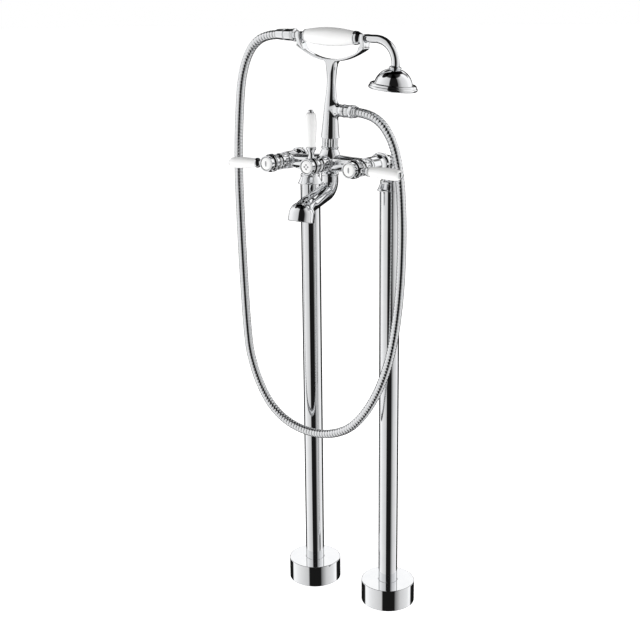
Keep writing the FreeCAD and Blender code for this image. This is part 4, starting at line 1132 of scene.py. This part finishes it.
def studio():
    """White studio with dark gaps between its soft boxes; the gaps draw the lines in the chrome."""
    world = bpy.data.worlds.new("studio")
    bpy.context.scene.world = world
    world.use_nodes = True
    tree = world.node_tree
    tree.nodes.clear()
    place = tree.nodes.new("ShaderNodeTexCoord")
    parts = tree.nodes.new("ShaderNodeSeparateXYZ")
    tree.links.new(place.outputs["Generated"], parts.inputs["Vector"])
    around = tree.nodes.new("ShaderNodeMath")
    around.operation = "ARCTAN2"
    tree.links.new(parts.outputs["Y"], around.inputs[0])
    tree.links.new(parts.outputs["X"], around.inputs[1])
    turn = remapped(tree, around.outputs["Value"], start=(-math.pi, math.pi))
    up = parts.outputs["Z"]
    levels = (LOW_WALLS, MIDDLE_WALLS, HIGH_WALLS)
    low, middle, high = (grey_ramp(tree, turn, azimuth_stops(walls)) for walls in levels)
    upper = combined(tree, middle, high, remapped(tree, up, start=MIDDLE_TO_HIGH))
    walls = combined(tree, low, upper, remapped(tree, up, start=LOW_TO_MIDDLE))
    heights = grey_ramp(tree, remapped(tree, up, start=(-1, 1)), HEIGHT_STOPS)
    mirrored = combined(tree, walls, heights)
    for turned_by, height, radius in FLAGS:
        flag = tree.nodes.new("ShaderNodeVectorMath")
        flag.operation = "DOT_PRODUCT"
        flag.inputs[1].default_value = sky_direction(turned_by, height)
        tree.links.new(place.outputs["Generated"], flag.inputs[0])
        limits = [math.cos(math.radians(reach)) for reach in (radius, radius - FLAG_EDGE)]
        edge = remapped(tree, flag.outputs["Value"], start=limits)
        shade = grey_ramp(tree, edge, [(0, 1), (1, FLAG_BRIGHTNESS)])
        mirrored = combined(tree, mirrored, shade)
    gloss = tree.nodes.new("ShaderNodeBackground")
    gloss.inputs["Strength"].default_value = MIRRORED_STRENGTH
    tree.links.new(mirrored, gloss.inputs["Color"])
    plain_white = tree.nodes.new("ShaderNodeBackground")
    plain_white.inputs["Color"].default_value = (1, 1, 1, 1)
    plain_white.inputs["Strength"].default_value = 1.0
    path = tree.nodes.new("ShaderNodeLightPath")
    chosen = tree.nodes.new("ShaderNodeMixShader")
    tree.links.new(path.outputs["Is Camera Ray"], chosen.inputs["Fac"])
    tree.links.new(gloss.outputs["Background"], chosen.inputs[1])
    tree.links.new(plain_white.outputs["Background"], chosen.inputs[2])
    output = tree.nodes.new("ShaderNodeOutputWorld")
    tree.links.new(chosen.outputs["Shader"], output.inputs["Surface"])


# ---- lights ----
# soft boxes, as (name, place, what it points at, watts)
SOFT_BOXES = [
    ("left", (-2.4, -1.2, 1.5), (0, 0, 0.7), 25),
    ("right", (2.3, 1.3, 1.5), (0, 0, 0.7), 30),
    ("front", (0.4, -2.6, 2.0), (0, 0, 0.6), 4),
]
SOFT_BOX_SIZE = 2.0


def lights():
    """Large soft lights on the ceramic and the floor that aren't mirrored in the chrome."""
    for name, place, target, power in SOFT_BOXES:
        data = bpy.data.lights.new(name, "AREA")
        data.shape = "SQUARE"
        data.size = SOFT_BOX_SIZE
        data.energy = power
        lamp = bpy.data.objects.new(name, data)
        lamp.location = place
        lamp.rotation_euler = (Vector(target) - Vector(place)).to_track_quat("-Z", "Y").to_euler()
        lamp.visible_glossy = False
        lamp.visible_camera = False
        bpy.context.scene.collection.objects.link(lamp)


def main():
    camera()
    hose()
    floor()
    studio()
    lights()
    bpy.context.scene.view_settings.view_transform = "Standard"
    legs()
    base_covers()
    leg_tops()
    mixer()
    bonnets()
    for name, x in VALVES.items():
        handle(name, x)
    spout()
    riser()
    cradle()
    hose_nuts()
    handset()
    dress_carried_nodes()


main()
